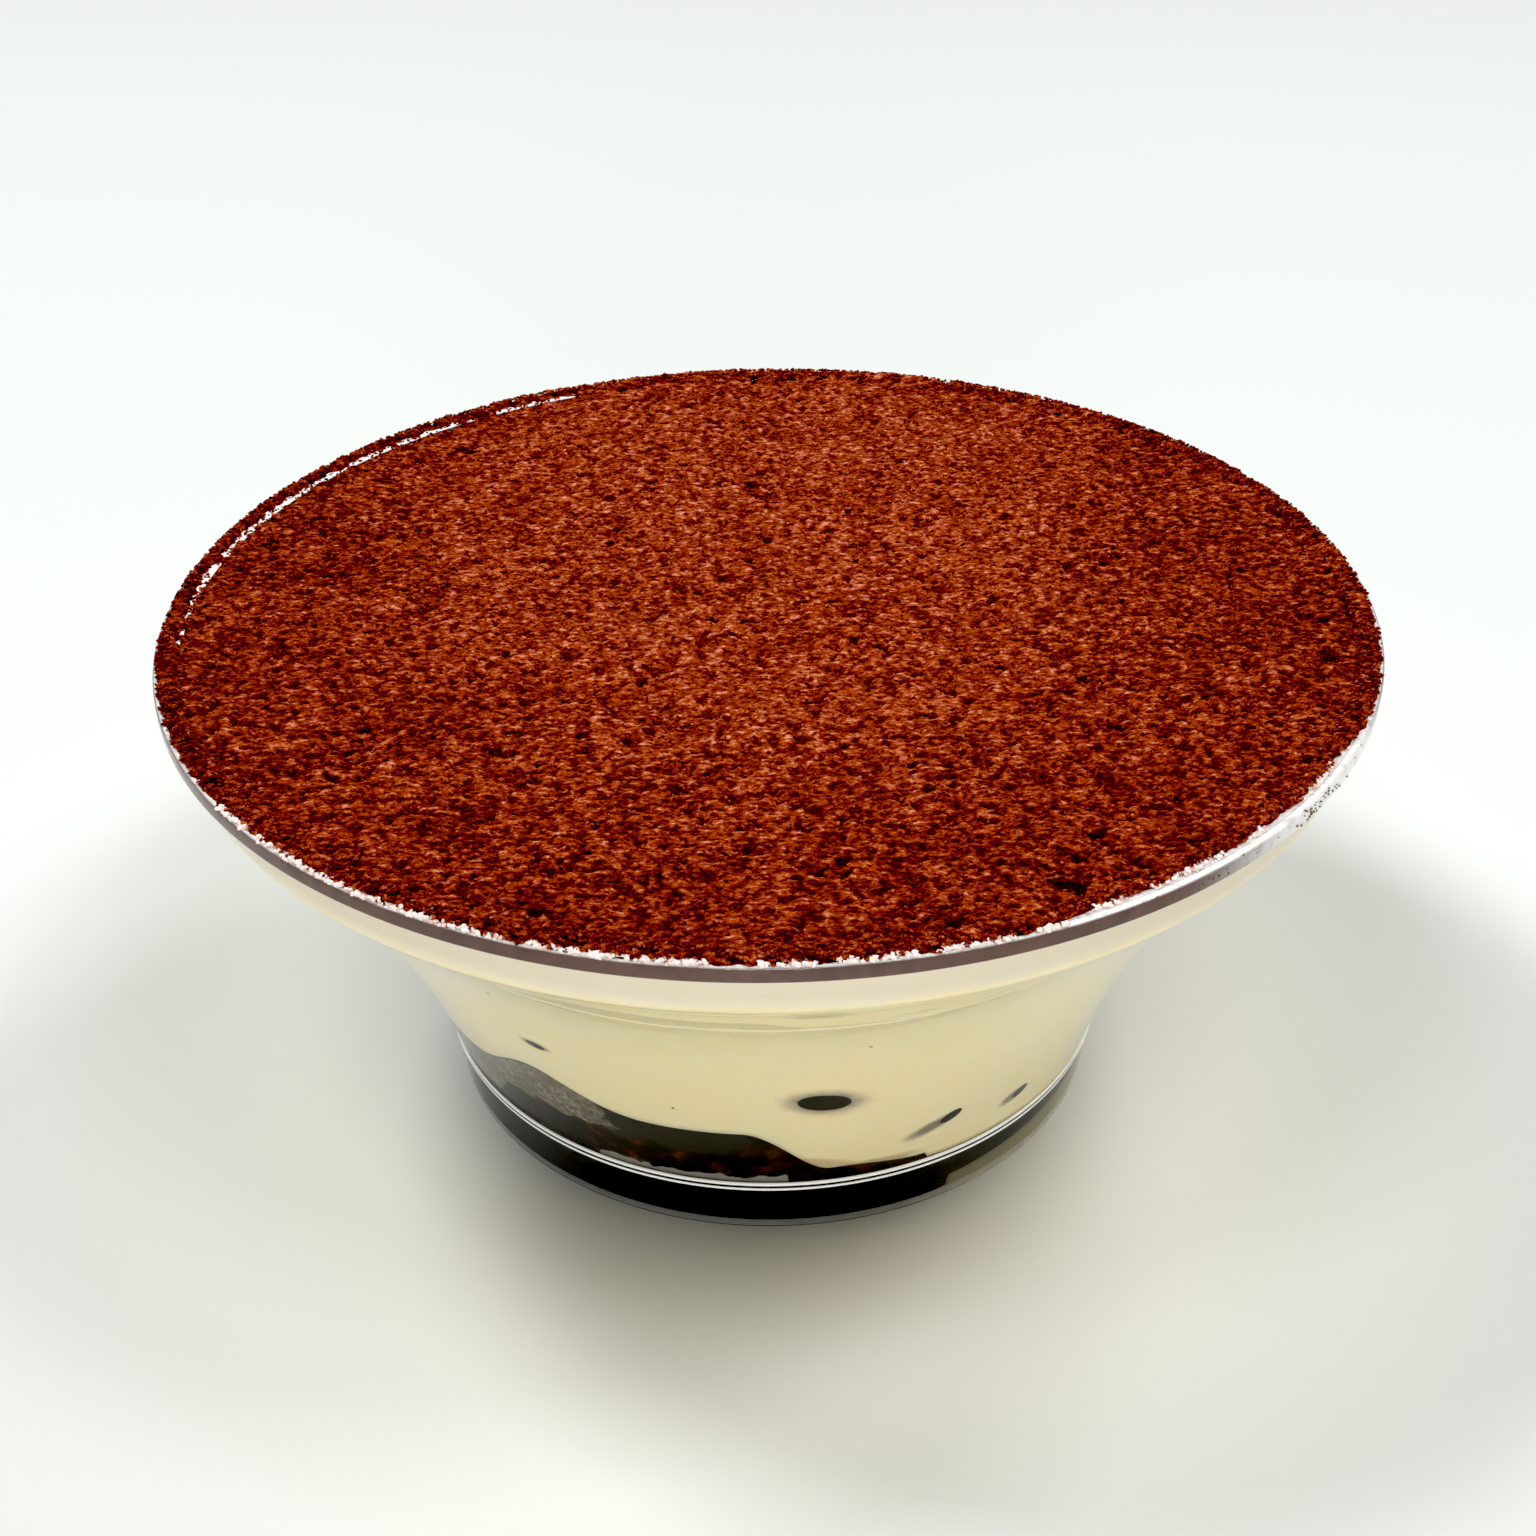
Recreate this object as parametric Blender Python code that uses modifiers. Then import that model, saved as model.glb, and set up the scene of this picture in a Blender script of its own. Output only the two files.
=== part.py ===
"""A tiramisu in its clear flared dessert cup.

The cup is one turned shell of clear plastic: a thick base with a shallow recess inside its foot
ring, a flat floor, a wall that flares out on one arc, a steep collar and a flat rim. It is full
to the rim. Soaked sponge lies on the floor, deep on one side and thinning out on the other,
where it stops short of the wall. Cream fills the cup above it, with four small pieces of soaked
sponge showing where they touch the wall, and a skin of cocoa powder lies on the cream.

The origin is at the centre of the foot's underside. +Z is up, and -Y is the front. Lengths are
in metres.
"""
import math

import bmesh
import bpy
from mathutils import Matrix, Vector, noise

# The cup's driving dimensions
RIM_RADIUS = 0.0500
RIM_TOP = 0.0429
RIM_FACE = 0.0013
RIM_EDGE = 0.0002
COLLAR_TOP_RADIUS = 0.0487
COLLAR_FOOT_RADIUS = 0.0482
COLLAR_FOOT_Z = 0.0378
RIDGE_RADIUS = 0.0292
RIDGE_Z = 0.0050
RIDGE_STEP = 0.0003
FOOT_RADIUS = 0.0286
FLARE_SAG = 0.0025
WALL = 0.0008
BASE_RECESS = 0.0005
FLOOR_TOP = 0.0053

# The contents' driving dimensions
GAP = 0.0003
CREAM_TOP = 0.0416
COCOA_TOP = 0.0430
COCOA_LUMP = 0.0004
COCOA_LUMP_WIDTH = 0.0065
COCOA_RINGS = 9

# The sponge at the wall, in height above the floor and in degrees round from the front
SPONGE_DEEP = 0.0072
SPONGE_THIN = 0.0016
SPONGE_EDGE = 0.0004
SPONGE_HUMP = 0.0038
SPONGE_HUMP_AT = -37.0
SPONGE_HUMP_WIDTH = 9.0
SPONGE_STEP = (-5.0, 9.0)
SPONGE_TAIL = (9.0, 25.0)
SPONGE_SHORT = (25.0, 45.0)
SPONGE_AGAIN = (95.0, 120.0)
SPONGE_BACK = (125.0, 190.0)
SPONGE_REACH = 0.62
SPONGE_SWELL = 0.0012
SPONGE_RINGS = 6
SPONGE_SIDE_STEPS = 3

SEGMENTS = 64
WALL_STEPS = 8
MERGE = 0.00001
SMOOTH_ANGLE = math.radians(35.0)

# Each spot of sponge at the wall: angle from the front in degrees, height, length, width, slope
SPOTS = {
    "sponge_spot_1": (6.6, 0.01725, 0.0043, 0.0027, -14.0),
    "sponge_spot_2": (27.6, 0.0106, 0.0021, 0.0012, 36.0),
    "sponge_spot_3": (42.2, 0.0091, 0.0017, 0.0012, 28.0),
    "sponge_spot_4": (-31.6, 0.0210, 0.0017, 0.0010, -12.0),
}
SPOT_DEPTH = 0.0016

# Colour, roughness and how much light goes through, for each material
FINISHES = {
    "clear_plastic": ((0.90, 0.91, 0.89), 0.08, 1.0),
    "soaked_sponge": ((0.030, 0.014, 0.008), 0.45, 0.0),
    "mascarpone_cream": ((0.78, 0.68, 0.44), 0.42, 0.0),
    "cocoa_powder": ((0.26, 0.045, 0.012), 0.95, 0.0),
}


def clear_scene():
    """Remove every object that the file starts with."""
    for item in list(bpy.data.objects):
        bpy.data.objects.remove(item, do_unlink=True)


def new_collection(name):
    """Make a collection and link it to the scene."""
    collection = bpy.data.collections.new(name)
    bpy.context.scene.collection.children.link(collection)
    return collection


def make_material(name):
    """Make a Principled material from its row in FINISHES."""
    colour, roughness, transmission = FINISHES[name]
    material = bpy.data.materials.new(name)
    material.use_nodes = True
    shader = material.node_tree.nodes["Principled BSDF"]
    shader.inputs["Base Color"].default_value = (*colour, 1.0)
    shader.inputs["Roughness"].default_value = roughness
    shader.inputs["Metallic"].default_value = 0.0
    shader.inputs["Transmission Weight"].default_value = transmission
    material.diffuse_color = (*colour, 1.0)
    return material


def smoothstep(low, high, value):
    """Rise smoothly from 0 at low to 1 at high."""
    share = min(max((value - low) / (high - low), 0.0), 1.0)
    return share * share * (3.0 - 2.0 * share)


def flare_circle():
    """Return the centre (radius, height) and radius of the arc that the outer flare follows."""
    run = COLLAR_FOOT_RADIUS - RIDGE_RADIUS
    rise = COLLAR_FOOT_Z - RIDGE_Z
    chord = math.hypot(run, rise)
    arc_radius = (chord ** 2 / 4.0 + FLARE_SAG ** 2) / (2.0 * FLARE_SAG)
    away = arc_radius - FLARE_SAG
    centre_r = (COLLAR_FOOT_RADIUS + RIDGE_RADIUS) / 2.0 + away * rise / chord
    centre_z = (COLLAR_FOOT_Z + RIDGE_Z) / 2.0 - away * run / chord
    return centre_r, centre_z, arc_radius


def flare_radius(height, inset):
    """Radius of the flare at a height, on a surface set in by inset along its normal."""
    centre_r, centre_z, arc_radius = flare_circle()
    return centre_r - math.sqrt((arc_radius + inset) ** 2 - (height - centre_z) ** 2)


def collar_radius(height, inset):
    """Radius of the collar at a height, on a surface set in by inset."""
    share = (height - COLLAR_FOOT_Z) / (RIM_TOP - COLLAR_FOOT_Z)
    return COLLAR_FOOT_RADIUS + share * (COLLAR_TOP_RADIUS - COLLAR_FOOT_RADIUS) - inset


def wall_radius(height, inset):
    """Radius of the cup's wall at a height, on a surface set in by inset from its outside."""
    return min(flare_radius(height, inset), collar_radius(height, inset))


def wall_outline(low, high, inset):
    """Points (radius, height) up the wall from low to high, with the collar's corner among them."""
    corner = COLLAR_FOOT_Z + inset * math.tan(math.radians(22.5))
    heights = [low + (corner - low) * step / WALL_STEPS for step in range(WALL_STEPS + 1)]
    heights.append(high)
    return [(wall_radius(height, inset), height) for height in heights]


def profile_mesh(name, points):
    """Make a mesh of edges through (radius, height) points in the plane of X and Z."""
    shape = bmesh.new()
    corners = [shape.verts.new((radius, 0.0, height)) for radius, height in points]
    for first, second in zip(corners, corners[1:]):
        shape.edges.new((first, second))
    mesh = bpy.data.meshes.new(name)
    shape.to_mesh(mesh)
    shape.free()
    return mesh


def turned_object(name, points, collection):
    """Turn a profile, given from its inner end over the top and down its outside, round Z."""
    turned = bpy.data.objects.new(name, profile_mesh(name, points))
    collection.objects.link(turned)
    screw = turned.modifiers.new("Turn", "SCREW")
    screw.angle = 2.0 * math.pi
    screw.steps = SEGMENTS
    screw.render_steps = SEGMENTS
    screw.use_merge_vertices = True
    screw.merge_threshold = MERGE
    screw.use_smooth_shade = True
    return turned


def finished_mesh(source):
    """Return an object's evaluated mesh, welded, and remove the object."""
    name = source.name
    bpy.context.view_layer.update()
    graph = bpy.context.evaluated_depsgraph_get()
    mesh = bpy.data.meshes.new_from_object(source.evaluated_get(graph))
    bpy.data.objects.remove(source, do_unlink=True)
    mesh.name = name
    shape = bmesh.new()
    shape.from_mesh(mesh)
    bmesh.ops.remove_doubles(shape, verts=shape.verts, dist=MERGE)
    shape.to_mesh(mesh)
    shape.free()
    return mesh


def mesh_object(name, mesh, collection):
    """Make an object for a mesh, shaded smooth with its sharp edges kept."""
    mesh.shade_smooth()
    mesh.set_sharp_from_angle(angle=SMOOTH_ANGLE)
    made = bpy.data.objects.new(name, mesh)
    collection.objects.link(made)
    return made


def as_cutter(item):
    """Mark an object as a guide for a cut, not a piece of the model."""
    item.hide_render = True
    item.display_type = "WIRE"
    return item


def exact_cut(target, operation):
    """Add an exact Boolean modifier to a target and return it."""
    modifier = target.modifiers.new("Cut", "BOOLEAN")
    modifier.operation = operation
    modifier.solver = "EXACT"
    return modifier


def cup_outline():
    """The cup's section: up the inside from the axis, over the rim, down the outside, the foot."""
    inside = [(0.0, FLOOR_TOP)] + wall_outline(FLOOR_TOP, RIM_TOP, WALL)
    rim_underside = RIM_TOP - RIM_FACE
    rim = [
        (RIM_RADIUS - RIM_EDGE, RIM_TOP),
        (RIM_RADIUS, RIM_TOP - RIM_EDGE),
        (RIM_RADIUS, rim_underside),
    ]
    outside = wall_outline(RIDGE_Z, rim_underside, 0.0)[::-1]
    foot = [
        (RIDGE_RADIUS - RIDGE_STEP, RIDGE_Z - RIDGE_STEP),
        (FOOT_RADIUS, 0.0),
        (FOOT_RADIUS - WALL, 0.0),
        (FOOT_RADIUS - WALL - BASE_RECESS, BASE_RECESS),
        (0.0, BASE_RECESS),
    ]
    return inside + rim + outside + foot


def filling_outline():
    """The section of the space that the contents fill, from the top on the axis to the floor."""
    inset = WALL + GAP
    bottom = FLOOR_TOP + GAP
    side = wall_outline(bottom, CREAM_TOP, inset)[::-1]
    return [(0.0, CREAM_TOP)] + side + [(0.0, bottom)]


def front_angle(x, y):
    """Angle of a point round from the front, in degrees, positive towards +X."""
    return math.degrees(math.atan2(x, -y))


def sponge_thickness(angle):
    """Thickness of the soaked sponge where it meets the wall, by the angle from the front."""
    step = smoothstep(*SPONGE_STEP, angle)
    tail = smoothstep(*SPONGE_TAIL, angle)
    back = smoothstep(*SPONGE_BACK, angle)
    shallow = SPONGE_THIN + (SPONGE_EDGE - SPONGE_THIN) * tail
    level = SPONGE_DEEP + (shallow - SPONGE_DEEP) * step * (1.0 - back)
    away = (angle - SPONGE_HUMP_AT) / SPONGE_HUMP_WIDTH
    return level + SPONGE_HUMP * math.exp(-away * away)


def sponge_reach(angle):
    """Share of the way to the wall that the sponge covers, by the angle from the front."""
    short = smoothstep(*SPONGE_SHORT, angle) * (1.0 - smoothstep(*SPONGE_AGAIN, angle))
    return 1.0 - (1.0 - SPONGE_REACH) * short


def sponge_middle(share, angle):
    """Thickness of the sponge part of the way out, from its even middle to its uneven edge."""
    even = (SPONGE_DEEP + SPONGE_THIN) / 2.0
    swell = SPONGE_SWELL * math.sin(math.radians(angle) * 3.0) * min(share * 2.0, 1.0)
    return even + swell + (sponge_thickness(angle) - even - swell) * smoothstep(0.25, 1.0, share)


def sponge_point(share, level, angle, grow):
    """Radius and height of a point of the sponge.

    share is how far out it lies, level how far up the sponge's thickness (below 0 for its base),
    and grow is the clearance by which a bed for the sponge is larger at its top and side.
    """
    base = FLOOR_TOP + GAP
    if level < 0.0:
        height = base if grow == 0.0 else FLOOR_TOP - GAP
    else:
        height = base + (sponge_middle(share, angle) + grow) * level
    if share > 1.0 - MERGE:
        edge = wall_radius(height, WALL + GAP) + grow
    else:
        edge = wall_radius(base + sponge_thickness(angle), WALL + GAP)
    return edge * sponge_reach(angle) * share, height


def sponge_mesh(name, grow, collection):
    """Make the sponge's mesh: a stepped disc is turned, then its points are set in place."""
    top = [(step / SPONGE_RINGS, 1.0) for step in range(SPONGE_RINGS + 1)]
    side = [(1.0, 1.0 - step / SPONGE_SIDE_STEPS) for step in range(1, SPONGE_SIDE_STEPS)]
    base = [(1.0, -1.0), (0.0, -1.0)]
    mesh = finished_mesh(turned_object(name, top + side + base, collection))
    for vertex in mesh.vertices:
        share = math.hypot(vertex.co.x, vertex.co.y)
        angle = front_angle(vertex.co.x, vertex.co.y)
        if angle < SPONGE_BACK[1] - 360.0:
            angle += 360.0
        radius, height = sponge_point(share, vertex.co.z, angle, grow)
        if share > MERGE:
            vertex.co.x *= radius / share
            vertex.co.y *= radius / share
        vertex.co.z = height
    return mesh


def make_cup(parts):
    """Make the clear cup."""
    cup = turned_object("cup", cup_outline(), parts)
    cup.data.materials.append(make_material("clear_plastic"))
    return cup


def make_sponge(parts):
    """Make the layer of soaked sponge on the cup's floor."""
    sponge = mesh_object("sponge", sponge_mesh("sponge", 0.0, parts), parts)
    sponge.data.materials.append(make_material("soaked_sponge"))
    return sponge


def spot_body(name, row, grow, collection):
    """Make the flattened ball that a spot of sponge is cut from, against the wall."""
    angle, height, length, width, slope = row
    shape = bmesh.new()
    bmesh.ops.create_uvsphere(shape, u_segments=12, v_segments=7, radius=1.0)
    size = Matrix.Diagonal((length / 2.0 + grow, SPOT_DEPTH / 2.0 + grow, width / 2.0 + grow, 1.0))
    lean = math.atan2(
        wall_radius(height + WALL, WALL + GAP) - wall_radius(height - WALL, WALL + GAP),
        2.0 * WALL,
    )
    tilt = Matrix.Rotation(-math.radians(slope), 4, "Y")
    lay = Matrix.Rotation(lean, 4, "X")
    turn = Matrix.Rotation(math.radians(angle), 4, "Z")
    place = Matrix.Translation((0.0, -wall_radius(height, WALL + GAP), height))
    bmesh.ops.transform(shape, matrix=turn @ place @ lay @ tilt @ size, verts=shape.verts)
    mesh = bpy.data.meshes.new(name)
    shape.to_mesh(mesh)
    shape.free()
    return mesh_object(name, mesh, collection)


def make_spots(parts, guides, filling):
    """Make the pieces of soaked sponge that show at the wall, flush with the cream's side."""
    material = bpy.data.materials["soaked_sponge"]
    for name, row in SPOTS.items():
        spot = spot_body(name, row, 0.0, parts)
        spot.data.materials.append(material)
        exact_cut(spot, "INTERSECT").object = filling
        as_cutter(spot_body(name + "_pocket", row, GAP, guides))


def make_cream(parts, guides):
    """Make the cream: all of the filling but the sponge, its spots and their clearance."""
    cream = turned_object("cream", filling_outline(), parts)
    cream.data.materials.append(make_material("mascarpone_cream"))
    bed = mesh_object("sponge_bed", sponge_mesh("sponge_bed", GAP, guides), guides)
    as_cutter(bed)
    hollows = exact_cut(cream, "DIFFERENCE")
    hollows.operand_type = "COLLECTION"
    hollows.collection = guides
    return cream


def cocoa_height(x, y):
    """Height of the cocoa's lumpy top at a point."""
    coarse = noise.noise(Vector((x, y, 0.0)) / COCOA_LUMP_WIDTH)
    fine = noise.noise(Vector((x, y, COCOA_TOP)) / (COCOA_LUMP_WIDTH / 2.0))
    return COCOA_TOP + COCOA_LUMP * (coarse + 0.5 * fine)


def make_cocoa(parts):
    """Make the skin of cocoa powder: a turned disc whose top is then lifted into low lumps."""
    bottom = CREAM_TOP + GAP
    edge = wall_radius(bottom, WALL + GAP)
    rings = [(edge * step / COCOA_RINGS, COCOA_TOP) for step in range(COCOA_RINGS)]
    outline = rings + [(edge - GAP, COCOA_TOP), (edge, RIM_TOP - GAP), (edge, bottom), (0.0, bottom)]
    mesh = finished_mesh(turned_object("cocoa", outline, parts))
    for vertex in mesh.vertices:
        if vertex.co.z > COCOA_TOP - MERGE:
            vertex.co.z = cocoa_height(vertex.co.x, vertex.co.y)
    cocoa = mesh_object("cocoa", mesh, parts)
    cocoa.data.materials.append(make_material("cocoa_powder"))
    return cocoa


def main():
    """Build the cup and its contents."""
    clear_scene()
    parts = new_collection("tiramisu")
    guides = new_collection("tiramisu_cutters")
    bounds = new_collection("tiramisu_bounds")
    make_cup(parts)
    make_sponge(parts)
    filling = as_cutter(turned_object("filling", filling_outline(), bounds))
    make_spots(parts, guides, filling)
    make_cream(parts, guides)
    make_cocoa(parts)


main()
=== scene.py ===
"""Looks of a tiramisu in its clear flared cup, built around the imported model.

Every length is in metres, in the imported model's frame: +Z is up, the cup stands on its foot ring
at the origin, and the front is towards -Y. Angles round the cup are counted from the front,
positive towards +X.
"""
import logging
import math
from dataclasses import dataclass, field, replace
from enum import Enum
from typing import Iterable, Sequence

import bmesh
import bpy
import numpy as np
from mathutils import Matrix, Vector


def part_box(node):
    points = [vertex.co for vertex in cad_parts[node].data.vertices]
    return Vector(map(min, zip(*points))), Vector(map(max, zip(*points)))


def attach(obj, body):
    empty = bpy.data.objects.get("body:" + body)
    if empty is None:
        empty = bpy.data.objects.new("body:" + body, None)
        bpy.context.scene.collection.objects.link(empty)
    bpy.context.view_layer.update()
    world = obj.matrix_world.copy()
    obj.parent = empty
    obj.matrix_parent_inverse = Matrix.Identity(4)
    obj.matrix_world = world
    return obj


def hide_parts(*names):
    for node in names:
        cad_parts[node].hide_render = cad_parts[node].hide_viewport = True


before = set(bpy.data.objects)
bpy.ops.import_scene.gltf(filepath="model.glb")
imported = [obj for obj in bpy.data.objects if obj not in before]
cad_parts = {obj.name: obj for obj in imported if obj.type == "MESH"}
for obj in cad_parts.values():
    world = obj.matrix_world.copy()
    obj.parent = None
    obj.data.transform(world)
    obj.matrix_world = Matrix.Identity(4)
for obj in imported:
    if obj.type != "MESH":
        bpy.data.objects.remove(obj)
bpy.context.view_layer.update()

LOG = logging.getLogger("tiramisu")
MM = 0.001
BODY = "root"


class Slot(Enum):
    """The record's material slots."""

    PLASTIC = "clear_plastic"
    SPONGE = "soaked_sponge"
    CREAM = "mascarpone_cream"
    COCOA = "cocoa_powder"


def smoothstep(low: float, high: float, value: np.ndarray) -> np.ndarray:
    """Rise smoothly from 0 at low to 1 at high.

    Args:
        low: Value below which the result is 0.
        high: Value above which the result is 1.
        value: Numbers to map.

    Returns:
        The mapped numbers, from 0 to 1.
    """
    share = np.clip((np.asarray(value, dtype=float) - low) / (high - low), 0.0, 1.0)
    return share * share * (3.0 - 2.0 * share)


class NodeGraph:
    """A material's node tree, with short calls that add and join its nodes."""

    def __init__(self, name: str) -> None:
        """Start an empty material of that name."""
        self.material = bpy.data.materials.new(name)
        self.material.use_nodes = True
        self.tree = self.material.node_tree
        self.tree.nodes.clear()

    def add(self, kind: str, inputs: dict | None = None, **settings) -> bpy.types.Node:
        """Add a node.

        Args:
            kind: The node's type name.
            inputs: Value or source socket for each named or numbered input.
            settings: Attributes set on the node.

        Returns:
            The new node.
        """
        node = self.tree.nodes.new(kind)
        for name, value in settings.items():
            setattr(node, name, value)
        for key, value in (inputs or {}).items():
            if isinstance(value, bpy.types.NodeSocket):
                self.tree.links.new(value, node.inputs[key])
            else:
                node.inputs[key].default_value = value
        return node

    def math(self, operation: str, *values) -> bpy.types.NodeSocket:
        """Add a Math node of numbers or sockets and return its result."""
        inputs = dict(enumerate(values))
        return self.add("ShaderNodeMath", inputs, operation=operation).outputs[0]

    def place(self) -> bpy.types.NodeSocket:
        """Return the Object coordinates."""
        return self.add("ShaderNodeTexCoord").outputs["Object"]

    def attribute(self, name: str) -> bpy.types.NodeSocket:
        """Return a number kept on the mesh's points."""
        return self.add("ShaderNodeAttribute", attribute_name=name).outputs["Fac"]

    def noise(self, scale_mm: float, detail: float = 3.0, roughness: float = 0.55,
              stretch: Sequence[float] = (1.0, 1.0, 1.0), turn: float = 0.0) -> bpy.types.NodeSocket:
        """Return noise from 0 to 1.

        Args:
            scale_mm: Size of its features in millimetres.
            detail: Number of finer layers.
            roughness: Strength of each finer layer against the last.
            stretch: Scale along each axis, under 1 for longer features.
            turn: Turn round Z, in radians.

        Returns:
            The noise.
        """
        inputs = {"Vector": self.place(), "Scale": stretch, "Rotation": (0.0, 0.0, turn)}
        mapping = self.add("ShaderNodeMapping", inputs)
        inputs = {
            "Vector": mapping.outputs[0],
            "Scale": 1.0 / (scale_mm * MM),
            "Detail": detail,
            "Roughness": roughness,
        }
        return self.add("ShaderNodeTexNoise", inputs).outputs["Fac"]

    def ramp(self, factor: bpy.types.NodeSocket, stops: Sequence) -> bpy.types.NodeSocket:
        """Return a colour read from stops of (position, colour)."""
        node = self.add("ShaderNodeValToRGB", {"Fac": factor})
        elements = node.color_ramp.elements
        while len(elements) < len(stops):
            elements.new(0.5)
        for element, (position, colour) in zip(elements, stops):
            element.position = position
            element.color = (*colour, 1.0)
        return node.outputs["Color"]

    def mix(self, factor, first, second, blend: str = "MIX") -> bpy.types.NodeSocket:
        """Return a blend of two colours, each a socket or a triple."""
        inputs = {0: factor}
        for key, value in ((6, first), (7, second)):
            inputs[key] = (*value, 1.0) if isinstance(value, tuple) else value
        node = self.add("ShaderNodeMix", inputs, data_type="RGBA", blend_type=blend)
        return node.outputs[2]

    def span(self, value, low: float, high: float, start: float = 0.0,
             end: float = 1.0) -> bpy.types.NodeSocket:
        """Map a number smoothly from low..high to start..end."""
        inputs = {"Value": value, 1: low, 2: high, 3: start, 4: end}
        node = self.add("ShaderNodeMapRange", inputs, interpolation_type="SMOOTHSTEP")
        return node.outputs["Result"]

    def bump(self, height, distance_mm: float, strength: float = 1.0,
             normal: bpy.types.NodeSocket | None = None) -> bpy.types.NodeSocket:
        """Return a normal bumped by a height."""
        inputs = {"Height": height, "Distance": distance_mm * MM, "Strength": strength}
        if normal is not None:
            inputs["Normal"] = normal
        return self.add("ShaderNodeBump", inputs).outputs["Normal"]

    def surface(self, shader: bpy.types.NodeSocket) -> bpy.types.Material:
        """Make a shader the material's surface and return the material."""
        self.add("ShaderNodeOutputMaterial", {"Surface": shader})
        return self.material


@dataclass(frozen=True)
class ClearPlastic:
    """Clear moulded plastic, which lamps shine through."""

    tint: tuple = (0.985, 0.99, 0.985)
    roughness: float = 0.03
    ior: float = 1.42

    def material(self) -> bpy.types.Material:
        """Build the material."""
        graph = NodeGraph("clear_plastic_look")
        wave = graph.noise(6.0, detail=1.0)
        plastic = graph.add("ShaderNodeBsdfPrincipled", {
            "Base Color": (*self.tint, 1.0),
            "Roughness": self.roughness,
            "IOR": self.ior,
            "Transmission Weight": 1.0,
            "Normal": graph.bump(wave, 0.02),
        })
        path = graph.add("ShaderNodeLightPath")
        soft = graph.math("MAXIMUM", path.outputs["Is Shadow Ray"], path.outputs["Is Diffuse Ray"])
        clear = graph.add("ShaderNodeBsdfTransparent", {"Color": (*self.tint, 1.0)})
        inputs = {0: soft, 1: plastic.outputs[0], 2: clear.outputs[0]}
        return graph.surface(graph.add("ShaderNodeMixShader", inputs).outputs[0])


@dataclass(frozen=True)
class Halo:
    """A soft patch in the cream: painted shade by a piece of sponge, a smudge, or a stain along the
    sponge's edge.
    """

    centre: Vector
    turn: Matrix
    half_size: tuple
    # Default colour: the grey of the painted shade round a piece of sponge.
    colour: tuple = (0.20, 0.17, 0.13)
    strength: float = 0.95


@dataclass(frozen=True)
class MascarponeCream:
    """Smooth pale yellow cream, with painted shade where sponge lies just behind it and painted light
    behind the collar.
    """

    pale: tuple = (1.00, 0.83, 0.53)
    warm: tuple = (1.00, 0.81, 0.48)
    # Painted light: a greyer, less yellow band of cream behind the collar, for the light through the
    # collar's plastic.
    collar: tuple = (0.855, 0.755, 0.585)
    roughness: float = 0.5
    scatter_mm: float = 1.6

    def material(self, halos: Iterable[Halo]) -> bpy.types.Material:
        """Build the material.

        Args:
            halos: The soft patches: painted shade round each piece of sponge at the wall, smudges and
                stains.

        Returns:
            The cream's material.
        """
        graph = NodeGraph("cream_look")
        colour = graph.mix(graph.span(graph.noise(5.0), 0.35, 0.65), self.pale, self.warm)
        height = graph.add("ShaderNodeSeparateXYZ", {"Vector": graph.place()}).outputs["Z"]
        # Painted light behind the collar, from 37.4 mm up.
        colour = graph.mix(graph.span(height, 37.4 * MM, 38.2 * MM), colour, self.collar)
        # Each halo paints shade round a piece of sponge, or a smudge or stain, into the cream's colour.
        for halo in halos:
            colour = graph.mix(self.halo(graph, halo), colour, halo.colour)
        cream = graph.add("ShaderNodeBsdfPrincipled", {
            "Base Color": colour,
            "Roughness": self.roughness,
            "Subsurface Weight": 0.6,
            "Subsurface Radius": (1.0, 0.8, 0.5),
            "Subsurface Scale": self.scatter_mm * MM,
            "Normal": graph.bump(graph.noise(1.2), 0.03),
        })
        return graph.surface(cream.outputs[0])

    def halo(self, graph: NodeGraph, halo: Halo) -> bpy.types.NodeSocket:
        """Return how strongly a halo shades the cream, from 0 outside it to its middle."""
        mapping = graph.add("ShaderNodeMapping", {
            "Vector": graph.place(),
            "Location": halo.centre,
            "Rotation": halo.turn.to_euler(),
            "Scale": halo.half_size,
        }, vector_type="TEXTURE")
        away = graph.add("ShaderNodeVectorMath", {0: mapping.outputs[0]}, operation="LENGTH")
        ragged = graph.math("MULTIPLY_ADD", graph.noise(0.9), 0.5, away.outputs["Value"])
        return graph.span(ragged, 0.80, 1.95, halo.strength, 0.0)


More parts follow.
